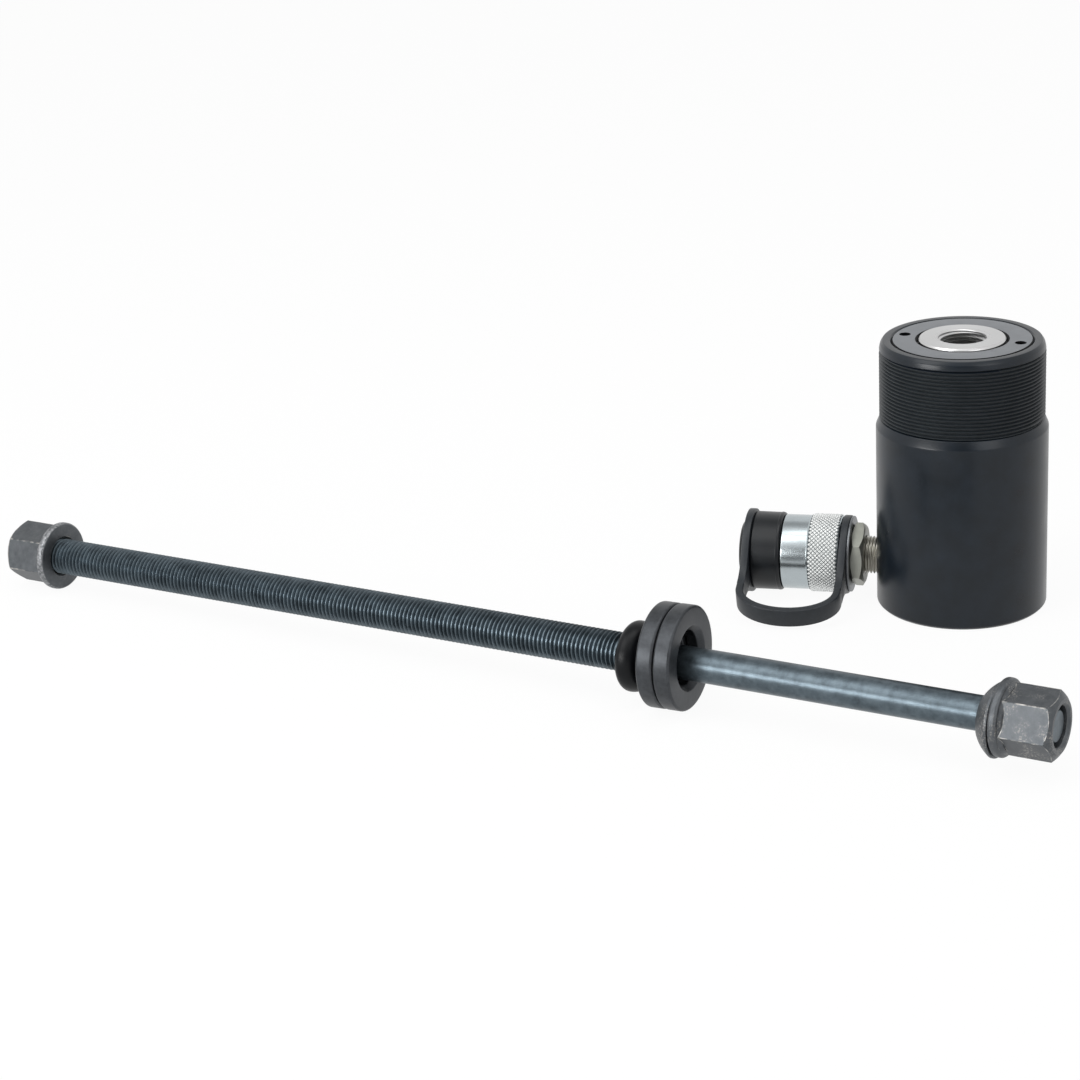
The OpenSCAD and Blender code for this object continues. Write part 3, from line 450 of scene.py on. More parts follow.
gland_r, gland_edge_r, wiper_seat_r = 29.7, 29.1, 21
lip_r, lip_edge_r, lip_low, lip_high = 18.75, 19.8, 116.2, 117
gland = turned("gland_nut_ring", [
    (wiper_seat_r, gland_seat, 0), (gland_r, gland_seat, 0), (gland_r, joint_low, 0),
    (gland_edge_r, body_h, 0.1), (lip_edge_r, body_h, 0.1), (lip_r, lip_high, 0.1), (lip_r, lip_low, 0),
    (wiper_seat_r, lip_low, 0)], steps=192)
gland.data.materials.append(phosphated)
hole_ring_r, hole_r, hole_low, drill_len = 25, 2.45, 111, 9
hole_turn = math.radians(-9.5)
drills = bmesh.new()
for turn in (hole_turn, hole_turn + math.pi):
    x, y, z = hole_ring_r * math.cos(turn), hole_ring_r * math.sin(turn), hole_low + drill_len / 2
    spot = Matrix.Translation((x / 1000, y / 1000, z / 1000))
    bmesh.ops.create_cone(drills, cap_ends=True, segments=40, radius1=hole_r / 1000, radius2=hole_r / 1000,
                          depth=drill_len / 1000, matrix=spot)
drill = finished("spanner_drill", drills, Matrix())
bore = gland.modifiers.new("spanner_holes", "BOOLEAN")
bore.object, bore.operation, bore.solver = drill, "DIFFERENCE", "EXACT"
kept(gland, bore, Matrix(), 32)
bpy.data.objects.remove(drill)
gland.data.materials.append(joint_painted_shade)
# Faces in the joints and in the spanner holes take the painted shade.
for face in gland.data.polygons:
    reach, level = off_axis(face.center) * 1000, face.center[2] * 1000
    in_joint = reach < lip_edge_r - 0.1 or reach > gland_edge_r
    in_hole = abs(reach - hole_ring_r) < 3 and hole_low - 0.5 < level < body_h - 0.1
    face.material_index = 1 if in_joint or in_hole else 0
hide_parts("gland_nut")
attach(gland, "barrel")

# Turned bronze: warm, with tool rings about 0.5 mm apart.
bronze, tree, shader, here = surface("turned_bronze", Metallic=1.0)
shader.inputs["Base Color"].default_value = linear("#b08a4e")
stretch = put(tree, "ShaderNodeMapping", None, {"Vector": here, "Scale": (100, 100, 1 / 0.0005)}).outputs[0]
roughened(tree, shader, noise(tree, stretch, 1), 0.28, 0.44)
coat("gland_bush", bronze)
coat("wiper_ring", seal_black)


# Port nipple
# A short piece of plated steel pipe, threaded from both ends, screwed into the barrel and into the coupler.
# The pieces of the coupler are turned about an axis that leaves the barrel along -X at the port's height.
port_z = 18.6
port = Matrix(((0, 0, -1, 0), (0, 1, 0, 0), (1, 0, 0, port_z / 1000), (0, 0, 0, 1)))
plated, tree, shader, here = surface("plated_pipe_steel", Metallic=1.0)
cloud = noise(tree, here, 0.0015, 4.0)
tinted(tree, shader, cloud, "#8d8b82", "#b3b1a9")
roughened(tree, shader, cloud, 0.25, 0.42)

pipe_bore_r, pipe_core_r, pipe_end_r, pipe_bevel = 4.2, 7.35, 6.6, 0.8
pipe_low, pipe_high = 28.7, 47.4
nipple = turned("port_nipple_pipe", [
    (pipe_bore_r, pipe_low, 0), (pipe_end_r, pipe_low, 0.2), (pipe_core_r, pipe_low + pipe_bevel, 0.2),
    (pipe_core_r, pipe_high - pipe_bevel, 0.2), (pipe_end_r, pipe_high, 0.2), (pipe_bore_r, pipe_high, 0)],
    steps=64)
worked(nipple, thread_ridge, port, 32, Core_radius=pipe_core_r / 1000, Depth=0.00083, Crest_width=0.0002,
       Foot_width=0.0021, Pitch=0.001411, Turns=11.6, Start=0.0298, Run_out=0.03, Steps=56, Finish=plated)
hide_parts("port_nipple")
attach(nipple, "barrel")


# Coupler body
# A hexagon with a long neck, turned from hexagon bar and plated with an olive zinc-nickel.
# Its edges are eased on a copy of the CAD node.
olive, tree, shader, here = surface("olive_zinc_nickel_plate", Metallic=0.85)
cloud = noise(tree, here, 0.003, 5.0)
tinted(tree, shader, cloud, "#8a8c84", "#a8a9a1")
roughened(tree, shader, cloud, 0.36, 0.5)


def eased(node, name, width, material, edge_material, border=0):
    """A copy of a CAD node with bevelled edges and a border round its flats, both in the edge material."""
    mesh_edit = bmesh.new()
    mesh_edit.from_mesh(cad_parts[node].data)
    bmesh.ops.remove_doubles(mesh_edit, verts=mesh_edit.verts, dist=2e-6)
    bmesh.ops.dissolve_limit(mesh_edit, angle_limit=math.radians(0.3), verts=mesh_edit.verts,
                             edges=mesh_edit.edges)
    sharp = [e for e in mesh_edit.edges if e.is_manifold and e.calc_face_angle(0) > math.radians(24)]
    cut = bmesh.ops.bevel(mesh_edit, geom=sharp, offset=width / 1000, segments=2, profile=0.6, affect="EDGES",
                          clamp_overlap=True, miter_outer="ARC")
    worn = set(cut["faces"])
    if border:
        # A flat is large and has more corners than a quad, but not as many as a round face
        flats = [f for f in mesh_edit.faces if 4 < len(f.verts) < 80 and f.calc_area() > 6e-5]
        framed = bmesh.ops.inset_individual(mesh_edit, faces=flats, thickness=border / 1000,
                                            use_even_offset=True)
        worn.update(framed["faces"])
        worn.difference_update(flats)
    for face in mesh_edit.faces:
        face.material_index = 1 if face in worn else 0
    bmesh.ops.triangulate(mesh_edit, faces=[f for f in mesh_edit.faces if len(f.verts) > 4])
    piece = finished(name, mesh_edit, Matrix(), 30)
    piece.data.materials.append(material)
    piece.data.materials.append(edge_material)
    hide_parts(node)
    return piece


coupler = eased("coupler_body", "coupler_hexagon", 0.15, olive, olive)
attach(coupler, "barrel")


# Coupler valve and seals
# Inside the neck, a steel ball on a small spring closes the coupler when nothing is screwed on.
# A snap ring of spring wire holds the collar, and a rubber ring seals the front.
polished, tree, shader, here = surface("polished_bearing_steel", Metallic=1.0)
shader.inputs["Base Color"].default_value = linear("#c3c4c6")
roughened(tree, shader, noise(tree, here, 0.001, 3.0), 0.05, 0.14)
coat("valve_ball", polished)
coat("valve_seat", plated)
coat("front_seal", rubber)
coat("snap_ring", spring_wire)

valve_spring = coiled("valve_spring_wire", port, Mean_radius=0.003, Wire_radius=0.0004, Turns=4.0,
                      Span=0.00514, Start=0.0495, Steps=32, Sides=8)
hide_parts("valve_spring")
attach(valve_spring, "barrel")
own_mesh(valve_spring)


# Thin disc behind the strap
# A stamped washer between the hexagon and the strap's eyelet. Its zinc plate is painted darker and greyer
# than the collar's, as painted shade, in patches about 2 mm wide.
disc_zinc_painted_shade, tree, shader, here = surface("dull_zinc_plate", Metallic=0.9, Roughness=0.4)
tinted(tree, shader, noise(tree, here, 0.002, 4.0), "#5f6264", "#84878a")
disc_bore_r, disc_r, disc_low, disc_high = 11.2, 16.6, 46.9, 47.9
disc = turned("neck_disc_plate", [
    (disc_bore_r, disc_low, 0.1), (disc_r, disc_low, 0.25), (disc_r, disc_high, 0.25),
    (disc_bore_r, disc_high, 0.1)], port, 96)
disc.data.materials.append(disc_zinc_painted_shade)
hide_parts("neck_disc")
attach(disc, "barrel")


# Knurled collar
# A zinc-plated steel collar that turns on the neck. The rear band has a diamond knurl for the hand,
# and the front is a polished sleeve over the threaded socket.

def knurl_tree():
    """Nodes that set staggered rows of small pyramids round a turned band."""
    sizes = ("Band radius", "Band start", "Row step", "Half width", "Half length", "Height", "Flat top")
    tree, given = tree_with("diamond_knurl", dict.fromkeys(sizes, 1.0),
                            dict.fromkeys(("Diamonds round", "Rows"), 10))
    count = figure(tree, "MULTIPLY", given["Diamonds round"], given["Rows"])
    number = put(tree, "GeometryNodeInputIndex").outputs[0]
    row = figure(tree, "FLOOR", figure(tree, "DIVIDE", number, given["Diamonds round"]))
    shift = figure(tree, "MULTIPLY", figure(tree, "MODULO", row, 2.0), 0.5)
    share = figure(tree, "DIVIDE", figure(tree, "ADD", number, shift), given["Diamonds round"])
    angle = figure(tree, "MULTIPLY", share, 2 * math.pi)
    x = figure(tree, "MULTIPLY", figure(tree, "COSINE", angle), given["Band radius"])
    y = figure(tree, "MULTIPLY", figure(tree, "SINE", angle), given["Band radius"])
    z = figure(tree, "MULTIPLY_ADD", row, given["Row step"], given["Band start"])
    spot = put(tree, "ShaderNodeCombineXYZ", None, {"X": x, "Y": y, "Z": z}).outputs[0]
    spots = put(tree, "GeometryNodePoints", None, {"Count": count, "Position": spot}).outputs[0]
    pyramid = put(tree, "GeometryNodeMeshCone", {"fill_type": "NGON"}, {
        "Vertices": 4, "Side Segments": 1, "Fill Segments": 1, "Radius Top": given["Flat top"],
        "Radius Bottom": 1.0, "Depth": 1.0}).outputs["Mesh"]
    facing = put(tree, "ShaderNodeCombineXYZ", None, {"Y": math.pi / 2, "Z": angle}).outputs[0]
    size = put(tree, "ShaderNodeCombineXYZ", None, {
        "X": given["Half length"], "Y": given["Half width"], "Z": given["Height"]}).outputs[0]
    coated = put(tree, "GeometryNodeSetMaterial", None, {
        "Geometry": pyramid, "Material": given["Finish"]}).outputs[0]
    rows = put(tree, "GeometryNodeInstanceOnPoints", None, {
        "Points": spots, "Instance": coated, "Rotation": facing, "Scale": size}).outputs[0]
    put(tree, "NodeGroupOutput", None, {"Geometry": joined(tree, rows, given["Geometry"])})
    return tree


# Bright zinc: cloudy patches about 5 mm wide in its colour, and a polish that changes every 0.6 mm or so.
zinc, tree, shader, here = surface("bright_zinc_plate", Metallic=1.0)
tinted(tree, shader, noise(tree, here, 0.005, 4.0), "#a6aeb1", "#b4bcbf")
roughened(tree, shader, noise(tree, here, 0.0006, 3.0), 0.2, 0.27)

# Painted shade: the knurl's roots are coloured dark and dull, in specks about 0.5 mm wide.
knurl_root_shade, tree, shader, here = surface("dull_knurl_root", Metallic=0.5, Roughness=0.6)
tinted(tree, shader, noise(tree, here, 0.0005), "#3a4042", "#5a6163")

# The knurl's tops: the same zinc, cut up by the rolls, so it shines less. Its pale colour is painted up
# to near white, a painted reflection that stands in for the zinc's glints.
knurl_tops_painted_light, tree, shader, here = surface("knurled_zinc_plate", Metallic=0.3, Roughness=0.36)
tinted(tree, shader, noise(tree, here, 0.002, 3.0), "#e2e5e4", "#f2f3f2")

sleeve_r, sleeve_low, band_r, band_low, band_high = 16.3, 65.6, 16.75, 52.1, 64.9
collar_bore_r, collar_rear, collar_front = 11.18, 51.5, 76.9
socket_r, socket_low, room_r, room_low = 13.2, 65.3, 13.6, 54.5
half_diamond = 0.0008
collar = turned("knurled_collar_sleeve", [
    (collar_bore_r, collar_rear, 0.1), (sleeve_r, collar_rear, 0.2), (band_r, band_low, 0.2),
    (band_r, band_high, 0.2), (sleeve_r, sleeve_low, 0.1), (sleeve_r, collar_front, 0.6),
    (socket_r, collar_front, 0.4), (socket_r, socket_low, 0), (room_r, socket_low, 0), (room_r, room_low, 0),
    (collar_bore_r, room_low, 0)], steps=160)
collar.data.materials.append(zinc)
collar.data.materials.append(knurl_root_shade)
# The band under the knurl takes the painted shade of its roots.
for face in collar.data.polygons:
    reach, level = off_axis(face.center) * 1000, face.center[2] * 1000
    on_band = reach > band_r - 0.25 and band_low - 0.1 < level < band_high + 0.1
    face.material_index = 1 if on_band else 0
worked(collar, knurl_tree(), port, 28, Band_radius=0.01672, Band_start=0.05285, Row_step=0.00094,
       Half_width=half_diamond, Half_length=half_diamond, Height=0.00043, Flat_top=0.3, Diamonds_round=56,
       Rows=13, Finish=knurl_tops_painted_light)
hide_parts("knurled_collar")
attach(collar, "collar")


# Dust cap
# Moulded black PVC with a hollow plug, a fine line by the rim, and a neck and button that hold the strap.
# The plug is pushed into the collar's socket.
pvc, tree, shader, here = surface("moulded_black_pvc", Specular_IOR_Level=0.3)
cloud = noise(tree, here, 0.007, 4.0)
tinted(tree, shader, cloud, "#0b0e11", "#14181c")
roughened(tree, shader, cloud, 0.3, 0.42)
embossed(tree, shader, noise(tree, here, 0.0007), 0.08, 0.00004)

plug_r, hollow_r, cap_r, cap_neck_r, button_r = 12.9, 9.9, 17.1, 11, 13
plug_end, hollow_end, cap_front, cap_back, button_low, button_end = 67.6, 86.1, 77.2, 90.1, 93.5, 95.7
line_ridge_r, line_root_r, line_at = 17.2, 17.05, 78.8
cap = turned("dust_cap_moulding", [
    (hollow_r, plug_end, 0.3), (plug_r - 0.5, plug_end, 0.2), (plug_r, plug_end + 0.5, 0.2),
    (plug_r, cap_front, 0), (cap_r - 0.6, cap_front, 0.4), (cap_r, cap_front + 0.6, 0.5),
    (line_ridge_r, line_at, 0.2), (line_root_r, line_at + 0.2, 0.1), (cap_r, cap_back - 0.6, 0.5),
    (cap_r - 0.4, cap_back, 0.3), (cap_neck_r, cap_back, 0), (cap_neck_r, button_low, 0),
    (button_r, button_low, 0.1), (button_r, button_end - 1.1, 0.5), (button_r - 1.1, button_end, 0.5),
    (0, button_end, 0), (0, hollow_end, 0), (hollow_r, hollow_end, 0.8)], port, 128)
cap.data.materials.append(pvc)
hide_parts("dust_cap")
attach(cap, "dust_cap")


# Cap strap
# One flat moulded strap with an eyelet at each end, bent into a loop that hangs forward beside the coupler.
# The band is 8.4 mm wide and 3.2 mm thick.

def bridged(mesh_edit, low, high):
    """Joins two rings of as many points with quads."""
    for k in range(len(low)):
        n = (k + 1) % len(low)
        mesh_edit.faces.new((low[k], low[n], high[n], high[k]))


# Soft PVC: the cap's black, painted greyer on the strap as painted light, with a bloom in patches about 5 mm
# wide.
strap_pvc_painted_light, tree, shader, here = surface("soft_black_pvc", Roughness=0.42, Specular_IOR_Level=0.34)
tinted(tree, shader, noise(tree, here, 0.005, 4.0), "#171b1f", "#262b30")

# The loop lies in a plane through the coupler's axis that drops towards the front
drop = math.radians(16)
out = Vector((0, -math.cos(drop), -math.sin(drop)))
across = Vector((0, -math.sin(drop), math.cos(drop)))
along, port_axis = Vector((-1, 0, 0)), Vector((0, 0, port_z))
near_eyelet, far_eyelet = 49.6, 91.8
half_span, middle = (far_eyelet - near_eyelet) / 2, (far_eyelet + near_eyelet) / 2
leg_start, leg_end, bend = 16.0, 32.4, 14.0
leg_steps, bend_steps = 8, 40
line = [(leg_start + k * (leg_end - leg_start) / leg_steps, near_eyelet) for k in range(leg_steps)]
for k in range(bend_steps + 1):
    turn = math.pi * k / bend_steps
    line.append((leg_end + bend * math.sin(turn), middle - half_span * math.cos(turn)))
line += [(leg_end - k * (leg_end - leg_start) / leg_steps, far_eyelet) for k in range(1, leg_steps + 1)]

# The band: a flat section with rounded corners, carried along the line
half_w, half_t, soft = 4.2, 1.59, 0.45
section = []
for cu, cv, start in ((1, 1, 0), (-1, 1, 90), (-1, -1, 180), (1, -1, 270)):
    for step in (0, 30, 60, 90):
        a = math.radians(start + step)
        section.append((cu * (half_w - soft) + soft * math.cos(a), cv * (half_t - soft) + soft * math.sin(a)))
band = bmesh.new()
loops = []
for i, (rho, s) in enumerate(line):
    before, after = Vector(line[max(i - 1, 0)]), Vector(line[min(i + 1, len(line) - 1)])
    way = (after - before).normalized()
    normal = out * -way[1] + along * way[0]
    centre = port_axis + out * rho + along * s
    loops.append([band.verts.new((centre + across * w + normal * t) / 1000) for w, t in section])
for low, high in zip(loops, loops[1:]):
    bridged(band, low, high)
band.faces.new(loops[0])
band.faces.new(loops[-1])

# The eyelets: a ring each, whose rim runs out in a curve on both sides to the width of the band
flare, eyelet_t, rim_steps, flank_steps = 30.0, 3.2, 64, 12
for inner, outer, low in ((11.4, 16.9, 48.0), (11.3, 18.2, 90.2)):
    leave = math.atan2(half_w, flare) + math.acos(outer / math.hypot(half_w, flare)) + math.radians(5)
    first = Vector((outer * math.cos(leave), outer * math.sin(leave)))
    last = Vector((flare, half_w))
    pull = 0.42 * (last - first).length
    lean, straight = first + Vector((math.sin(leave), -math.cos(leave))) * pull, last - Vector((1, 0)) * pull
    flank = []
    for k in range(1, flank_steps + 1):
        t = k / flank_steps
        flank.append(first * (1 - t) ** 3 + lean * 3 * t * (1 - t) ** 2
                     + straight * 3 * t * t * (1 - t) + last * t ** 3)
    rim = []
    for k in range(rim_steps + 1):
        turn = leave + k * (2 * math.pi - 2 * leave) / rim_steps
        rim.append((outer * math.cos(turn), outer * math.sin(turn)))
    rim += [(p[0], -p[1]) for p in flank]
    rim += [(flare, half_w * k / 3) for k in (-2, -1, 0, 1, 2)]
    rim += [(p[0], p[1]) for p in reversed(flank)]
    hole = [(inner * x / math.hypot(x, y), inner * y / math.hypot(x, y)) for x, y in rim]
    rings = []
    for edge, inset, lift in ((hole, 0, 0), (hole, 0, eyelet_t), (rim, 0.4, eyelet_t), (rim, 0.1, 3.05),
                              (rim, 0, 2.7), (rim, 0, 0.5), (rim, 0.1, 0.15), (rim, 0.4, 0)):
        ring = []
        for x, y in edge:
            shrink = 1 - inset / math.hypot(x, y)
            point = out * x * shrink + across * y * shrink
            ring.append(band.verts.new((port_axis + point + along * (low + lift)) / 1000))
        rings.append(ring)
    for one, two in zip(rings, rings[1:] + rings[:1]):
        bridged(band, one, two)
strap = finished("cap_strap_loop", band, Matrix(), 40)
strap.data.materials.append(strap_pvc_painted_light)
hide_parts("cap_strap")
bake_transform(strap)


# Draw spindle
# A steel rod with a long rolled thread, a smooth shank and a short thread, phosphated and oiled.
# The pieces on it are made about its own axis, which leans a little because the thick rings hold it up.

def between(tree, value, low, high, least=0.0):
    """How far a value has come from low to high, as a share from least to 1."""
    return put(tree, "ShaderNodeMapRange", None, {
        "Value": value, "From Min": low, "From Max": high, "To Min": least}).outputs[0]


spindle_start, spindle_heading, spindle_lean = (-0.4257, -0.0322, 0.0152659574), -16.4, 0.7529699652
spindle_place = (Matrix.Translation(spindle_start) @ Matrix.Rotation(math.radians(spindle_heading), 4, "Z")
                 @ Matrix.Rotation(math.radians(90 - spindle_lean), 4, "Y"))
oiled, tree, shader, here = surface("oiled_phosphate", Metallic=0.85)
cloud = noise(tree, here, 0.005, 7.0, 0.66)
tinted(tree, shader, between(tree, cloud, 0.33, 0.62), "#424b51", "#5a656c")
roughened(tree, shader, cloud, 0.3, 0.4)

spindle_len, spindle_core_r, tip_r, tip_bevel = 501, 6.75, 6, 1.2
long_thread_end, short_thread_start = 316.6, 484
shank_r, shank_low, shank_high = 6.9, 317.5, 483.0
spindle = turned("draw_spindle", [
    (0, 0, 0), (tip_r, 0, 0.2), (spindle_core_r, tip_bevel, 0.1), (spindle_core_r, long_thread_end, 0.1),
    (shank_r, shank_low, 0.1), (shank_r, shank_high, 0.1), (spindle_core_r, short_thread_start, 0),
    (spindle_core_r, spindle_len - tip_bevel, 0.1), (tip_r, spindle_len, 0.2), (0, spindle_len, 0)], steps=64)
rolled = {"Core_radius": spindle_core_r / 1000, "Depth": 0.00125, "Crest_width": 0.0003, "Foot_width": 0.0031,
          "Pitch": 0.002, "Steps": 40, "Finish": oiled}
worked(spindle, thread_ridge, Matrix(), 32, Turns=157.6, Start=0.0016, Run_out=0.002, **rolled)
worked(spindle, thread_ridge, spindle_place, 32, Turns=7.6, Start=0.4848, Run_out=0.03, **rolled)
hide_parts("spindle")
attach(spindle, "spindle")


# Collar nuts
# Hexagon nuts with a round collar, hot forged and phosphated. Use has rubbed their corners bright,
# and spanners have nicked the near nut's flats.
forged, tree, shader, here = surface("phosphated_forged_steel", Metallic=0.75)
cloud = noise(tree, here, 0.004, 7.0, 0.65)
scale = tinted(tree, shader, cloud, "#33373b", "#676a6d")
# Nicks come in groups about 8 mm wide, and there are fewer towards the far end
nicks = between(tree, noise(tree, here, 0.0007, 6.0), 0.5, 0.66)
groups = between(tree, noise(tree, here, 0.008, 3.0), 0.47, 0.66)
along_x = put(tree, "ShaderNodeSeparateXYZ", None, {"Vector": here}).outputs[0]
struck = between(tree, along_x, -0.2, 0.0, 0.15)
bare = figure(tree, "MULTIPLY", figure(tree, "MULTIPLY", nicks, groups), struck)
tinted(tree, shader, bare, scale, "#8f8c88")
roughened(tree, shader, cloud, 0.36, 0.54)
embossed(tree, shader, noise(tree, here, 0.0012, 3.0), 0.15, 0.00008)

# Rubbed rim: bare steel shows through in specks about 1 mm wide, and the rest keeps its phosphate.
rubbed, tree, shader, here = surface("rubbed_rim_steel", Metallic=0.85, Roughness=0.45)
tinted(tree, shader, between(tree, noise(tree, here, 0.0012, 5.0), 0.34, 0.62), "#54585b", "#919294")

# Bare edges: steel that spanners keep bright, in runs about 3 mm long.
bare_edge, tree, shader, here = surface("bare_edge_steel", Metallic=0.7, Roughness=0.4)
tinted(tree, shader, between(tree, noise(tree, here, 0.003, 5.0), 0.42, 0.68), "#4c5053", "#a3a19d")

nut_bevel, nut_border, rim_from = 0.45, 0.3, 0.0147
to_spindle = spindle_place.inverted()
for node, name in (("far_nut", "far_collar_nut"), ("near_nut", "near_collar_nut")):
    nut = eased(node, name, nut_bevel, forged, bare_edge, nut_border)
    nut.data.materials.append(rubbed)
    for face in nut.data.polygons:
        if node == "far_nut" and off_axis(to_spindle @ face.center) > rim_from:
            face.material_index = 2
    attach(nut, node)


# Rubber ring
# A thick moulded ring that keeps the two steel rings from running onto the thread. It hangs on the shank,
# and its section is fuller towards the steel rings.
# Its own X points down, and it hangs by nearly all the play that its bore has on the shank.
ring_drop, ring_at = 0.0008, 0.3220
section_r, section_half, section_full = 11.2, 3.4, 5.4
half_steps = 20
section = []
for k in range(2 * half_steps):
    turn = math.pi * k / half_steps
    height = section_full if k < half_steps else section_half
    section.append((section_r + section_half * math.cos(turn), height * math.sin(turn), 0))
hang = Matrix.Translation((ring_drop, 0, ring_at))
rubber_ring = turned("rubber_stop_ring", section, spindle_place @ hang, 96)
rubber_ring.data.materials.append(rubber)
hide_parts("rubber_ring")
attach(rubber_ring, "spindle")


# Thick rings
# Two turned and blackened steel rings that stand turned a little to the shank. The rear one carries the shank
# in its bore, and the front one has a wider bore with a deep bevel.
ring_black, tree, shader, here = surface("blackened_ring_steel", Metallic=0.7)
cloud = noise(tree, here, 0.003, 8.0, 0.72)
tinted(tree, shader, cloud, "#17191b", "#505357")
roughened(tree, shader, cloud, 0.34, 0.5)
embossed(tree, shader, noise(tree, here, 0.0008, 3.0), 0.25, 0.00006)

ring_r, ring_t, ring_bevel = 21.5, 7.2, 0.7
pair_lift, pair_at, pair_turn = 0.002, 0.33935, math.radians(-3.5)
pair = Matrix.Translation((-pair_lift, 0, pair_at)) @ Matrix.Rotation(pair_turn, 4, "X")
for node, name, start, bore_r, mouth in (("rear_ring", "rear_thick_ring", -7.35, 9.0, ring_bevel),
                                         ("front_ring", "front_thick_ring", 0.15, 11.2, 2.3)):
    stand = pair @ Matrix.Translation((0, 0, start / 1000))
    ring = turned(name, [
        (bore_r + ring_bevel, 0, 0.3), (ring_r - ring_bevel, 0, 0.6), (ring_r, ring_bevel, 0.6),
        (ring_r, ring_t - ring_bevel, 0.6), (ring_r - ring_bevel, ring_t, 0.6), (bore_r + mouth, ring_t, 0.4),
        (bore_r, ring_t - mouth, 0.4), (bore_r, ring_bevel, 0.3)], spindle_place @ stand, 128)
    ring.data.materials.append(ring_black)
    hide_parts(node)
    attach(ring, node)


# Ball washer
# A turned and phosphated washer on the shank, against the near nut. Its domed side faces away from the nut,
# so that the spindle can lean in its seat.
dome_r, washer_r, washer_bore_r, washer_t = 17.5, 14.7, 8.5, 6.5
edge_t, dome_steps = washer_t / 6, 16
dome_z = washer_t - edge_t + math.sqrt(dome_r ** 2 - washer_r ** 2)
outline = [(washer_bore_r, washer_t, 0.3)]
for k in range(dome_steps + 1):
    r = washer_bore_r + (washer_r - washer_bore_r) * k / dome_steps
    outline.append((r, max(0.0, dome_z - math.sqrt(dome_r ** 2 - r ** 2)), 0 if k else 0.2))
outline.append((washer_r, washer_t, 0.3))
washer_drop, washer_at = 0.0015, 0.4718
hang = Matrix.Translation((washer_drop, 0, washer_at))
washer = turned("ball_washer_dome", outline, spindle_place @ hang, 96)
washer.data.materials.append(forged)
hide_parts("ball_washer")
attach(washer, "ball_washer")


# Camera
# A long lens from in front and above, turned a little on its side as in the photograph.
# Its place, angles and focal length come from a fit to the edges of the barrel and the spindle.
heading, pitch, roll = math.radians(15.5), math.radians(20.827), math.radians(-3.107)
ahead = Vector((-math.sin(heading) * math.cos(pitch), math.cos(heading) * math.cos(pitch), -math.sin(pitch)))
right = Vector((math.cos(heading), math.sin(heading), 0))
up = right.cross(ahead)
side, top = right * math.cos(roll) + up * math.sin(roll), up * math.cos(roll) - right * math.sin(roll)
lens = bpy.data.cameras.new("camera")
lens.lens, lens.sensor_width = 92.443, 36
lens.clip_start, lens.clip_end = 0.05, 50
camera = bpy.data.objects.new("camera", lens)
camera_spot = Matrix.Translation((0.12308, -1.12443, 0.46243))
camera.matrix_world = camera_spot @ Matrix((side, top, -ahead)).transposed().to_4x4()
bpy.context.scene.collection.objects.link(camera)
bpy.context.scene.camera = camera


# Studio
# A pale floor that keeps a soft shadow, a white surrounding, two dark curtains for the metal and four lamps.
# What the camera sees of the floor and the surrounding is all but white, whatever light they give.

def looked_at(tree):
    """1 for rays that the camera sends out, straight, mirrored or through glass, and 0 for all others."""
    ray = put(tree, "ShaderNodeLightPath").outputs
    mirrored = figure(tree, "MAXIMUM", ray["Is Camera Ray"], ray["Is Glossy Ray"])
    return figure(tree, "MAXIMUM", mirrored, ray["Is Transmission Ray"])


pure_white, floor_half, floor_white = (1, 1, 1, 1), 8, 0.94
floor_mesh = bpy.data.meshes.new("floor")
floor_mesh.from_pydata([(x * floor_half, y * floor_half, 0) for x, y in ((-1, -1), (1, -1), (1, 1), (-1, 1))],
                       [], [(0, 1, 2, 3)])
floor = bpy.data.objects.new("floor", floor_mesh)
bpy.context.scene.collection.objects.link(floor)
paper = bpy.data.materials.new("pale_floor")
paper.use_nodes = True
tree = paper.node_tree
tree.nodes.clear()
matt = put(tree, "ShaderNodeBsdfDiffuse", None, {"Color": linear("#f4f4f4")}).outputs[0]
white = put(tree, "ShaderNodeEmission", None, {"Color": pure_white, "Strength": 1.0}).outputs[0]
share = figure(tree, "MULTIPLY", looked_at(tree), floor_white)
mixed = put(tree, "ShaderNodeMixShader", None, {"Fac": share, 1: matt, 2: white}).outputs[0]
put(tree, "ShaderNodeOutputMaterial", None, {"Surface": mixed})
floor_mesh.materials.append(paper)

world = bpy.data.worlds.new("studio")
world.use_nodes = True
bpy.context.scene.world = world
tree = world.node_tree
tree.nodes.clear()
level = put(tree, "ShaderNodeMapRange", None, {
    "Value": looked_at(tree), "To Min": 0.5, "To Max": 1.0}).outputs[0]
sky = put(tree, "ShaderNodeBackground", None, {"Color": pure_white, "Strength": level}).outputs[0]
put(tree, "ShaderNodeOutputWorld", None, {"Surface": sky})

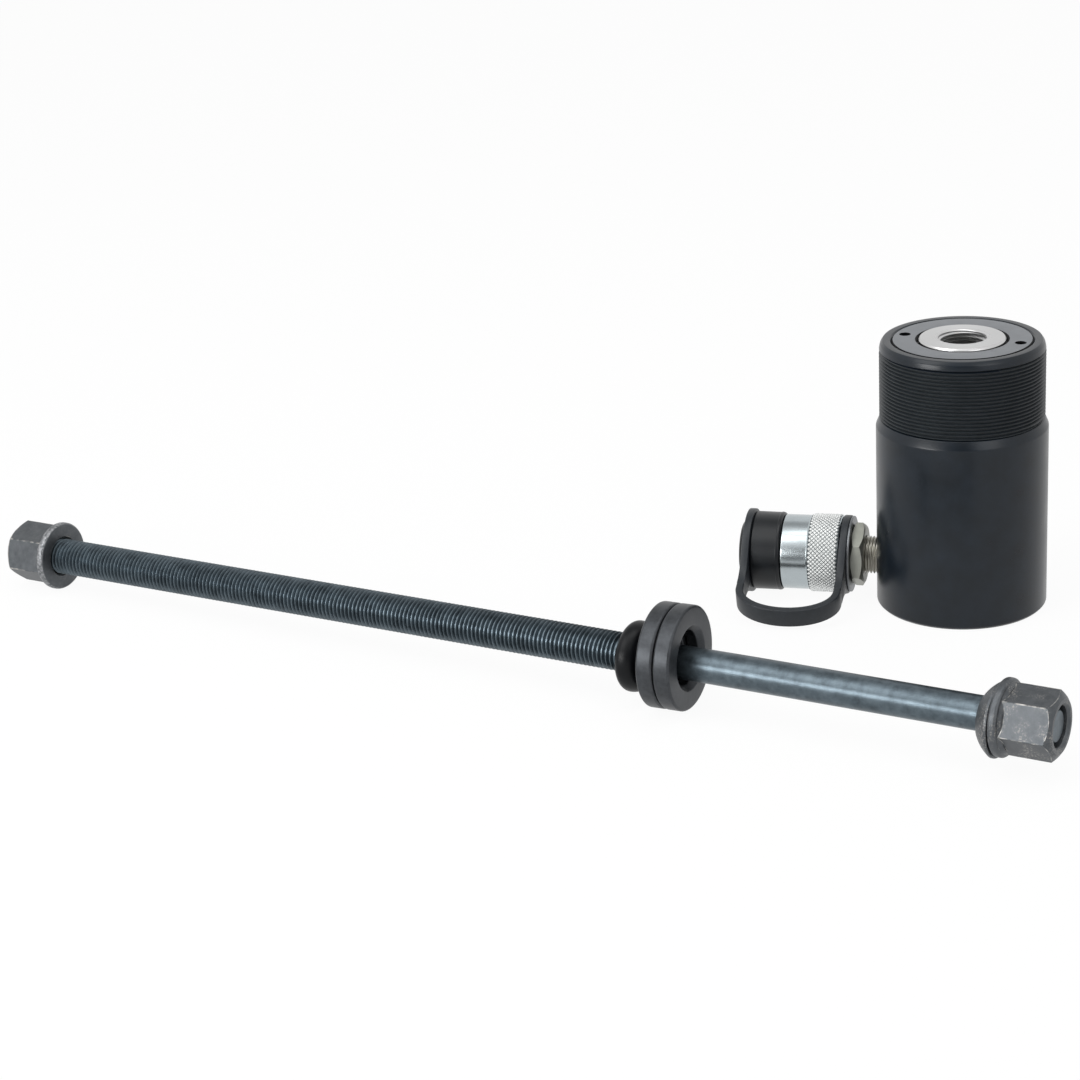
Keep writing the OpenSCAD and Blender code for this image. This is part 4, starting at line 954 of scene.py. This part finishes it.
# A dark curtain behind the camera and one overhead at the back, seen only in reflections.
# Each fades to white outwards.
curtain_aim = Vector((-0.1, 0, 0.05))
for name, spot, wide, high, depth in (("front_curtain", (0.25, -2.4, 0.95), 3.0, 1.8, 0.05),
                                      ("high_curtain", (-0.2, 1.0, 2.2), 3.0, 1.5, 0.5)):
    curtain = bpy.data.materials.new(name)
    curtain.use_nodes = True
    tree = curtain.node_tree
    tree.nodes.clear()
    cloth = put(tree, "ShaderNodeTexCoord").outputs["UV"]
    off_centre = put(tree, "ShaderNodeVectorMath", {"operation": "SUBTRACT"}, {
        0: cloth, 1: (0.5, 0.5, 0)}).outputs[0]
    away = put(tree, "ShaderNodeVectorMath", {"operation": "ABSOLUTE"}, {0: off_centre}).outputs[0]
    outwards = put(tree, "ShaderNodeSeparateXYZ", None, {"Vector": away}).outputs
    fade = put(tree, "ShaderNodeMapRange", {"interpolation_type": "SMOOTHSTEP"}, {
        "Value": figure(tree, "MAXIMUM", outwards[0], outwards[1]), "From Min": 0.2, "From Max": 0.5,
        "To Min": depth, "To Max": 1.0}).outputs[0]
    drape = put(tree, "ShaderNodeEmission", None, {"Color": pure_white, "Strength": fade}).outputs[0]
    put(tree, "ShaderNodeOutputMaterial", None, {"Surface": drape})
    cloth_mesh = bpy.data.meshes.new(name)
    facing = (curtain_aim - Vector(spot)).to_track_quat("Z", "Y").to_matrix()
    cloth_mesh.from_pydata([Vector(spot) + facing @ Vector((x * wide / 2, y * high / 2, 0))
                            for x, y in ((-1, -1), (1, -1), (1, 1), (-1, 1))], [], [(0, 1, 2, 3)])
    cloth_mesh.uv_layers.new(name="drape").uv.foreach_set("vector", (0, 0, 1, 0, 1, 1, 0, 1))
    cloth_mesh.materials.append(curtain)
    hung = bpy.data.objects.new(name, cloth_mesh)
    hung.visible_camera = hung.visible_diffuse = hung.visible_shadow = hung.visible_transmission = False
    bpy.context.scene.collection.objects.link(hung)

for name, spot, aim, wide, high, power in (
        ("key_lamp", (-0.9, -0.7, 1.3), (-0.1, -0.05, 0), 0.9, 0.9, 8),
        ("side_lamp", (-1.0, -1.2, 0.35), (-0.1, -0.05, 0.03), 0.7, 0.4, 10),
        ("fill_lamp", (0.9, -1.0, 0.9), (-0.1, -0.05, 0.05), 0.8, 0.8, 4),
        ("top_lamp", (0.0, -0.1, 1.5), (-0.1, 0, 0), 1.0, 0.6, 5)):
    lamp = bpy.data.lights.new(name, "AREA")
    lamp.shape, lamp.size, lamp.size_y, lamp.energy = "RECTANGLE", wide, high, power
    holder = bpy.data.objects.new(name, lamp)
    holder.location = spot
    holder.rotation_mode = "QUATERNION"
    holder.rotation_quaternion = (Vector(aim) - Vector(spot)).to_track_quat("-Z", "Y")
    bpy.context.scene.collection.objects.link(holder)
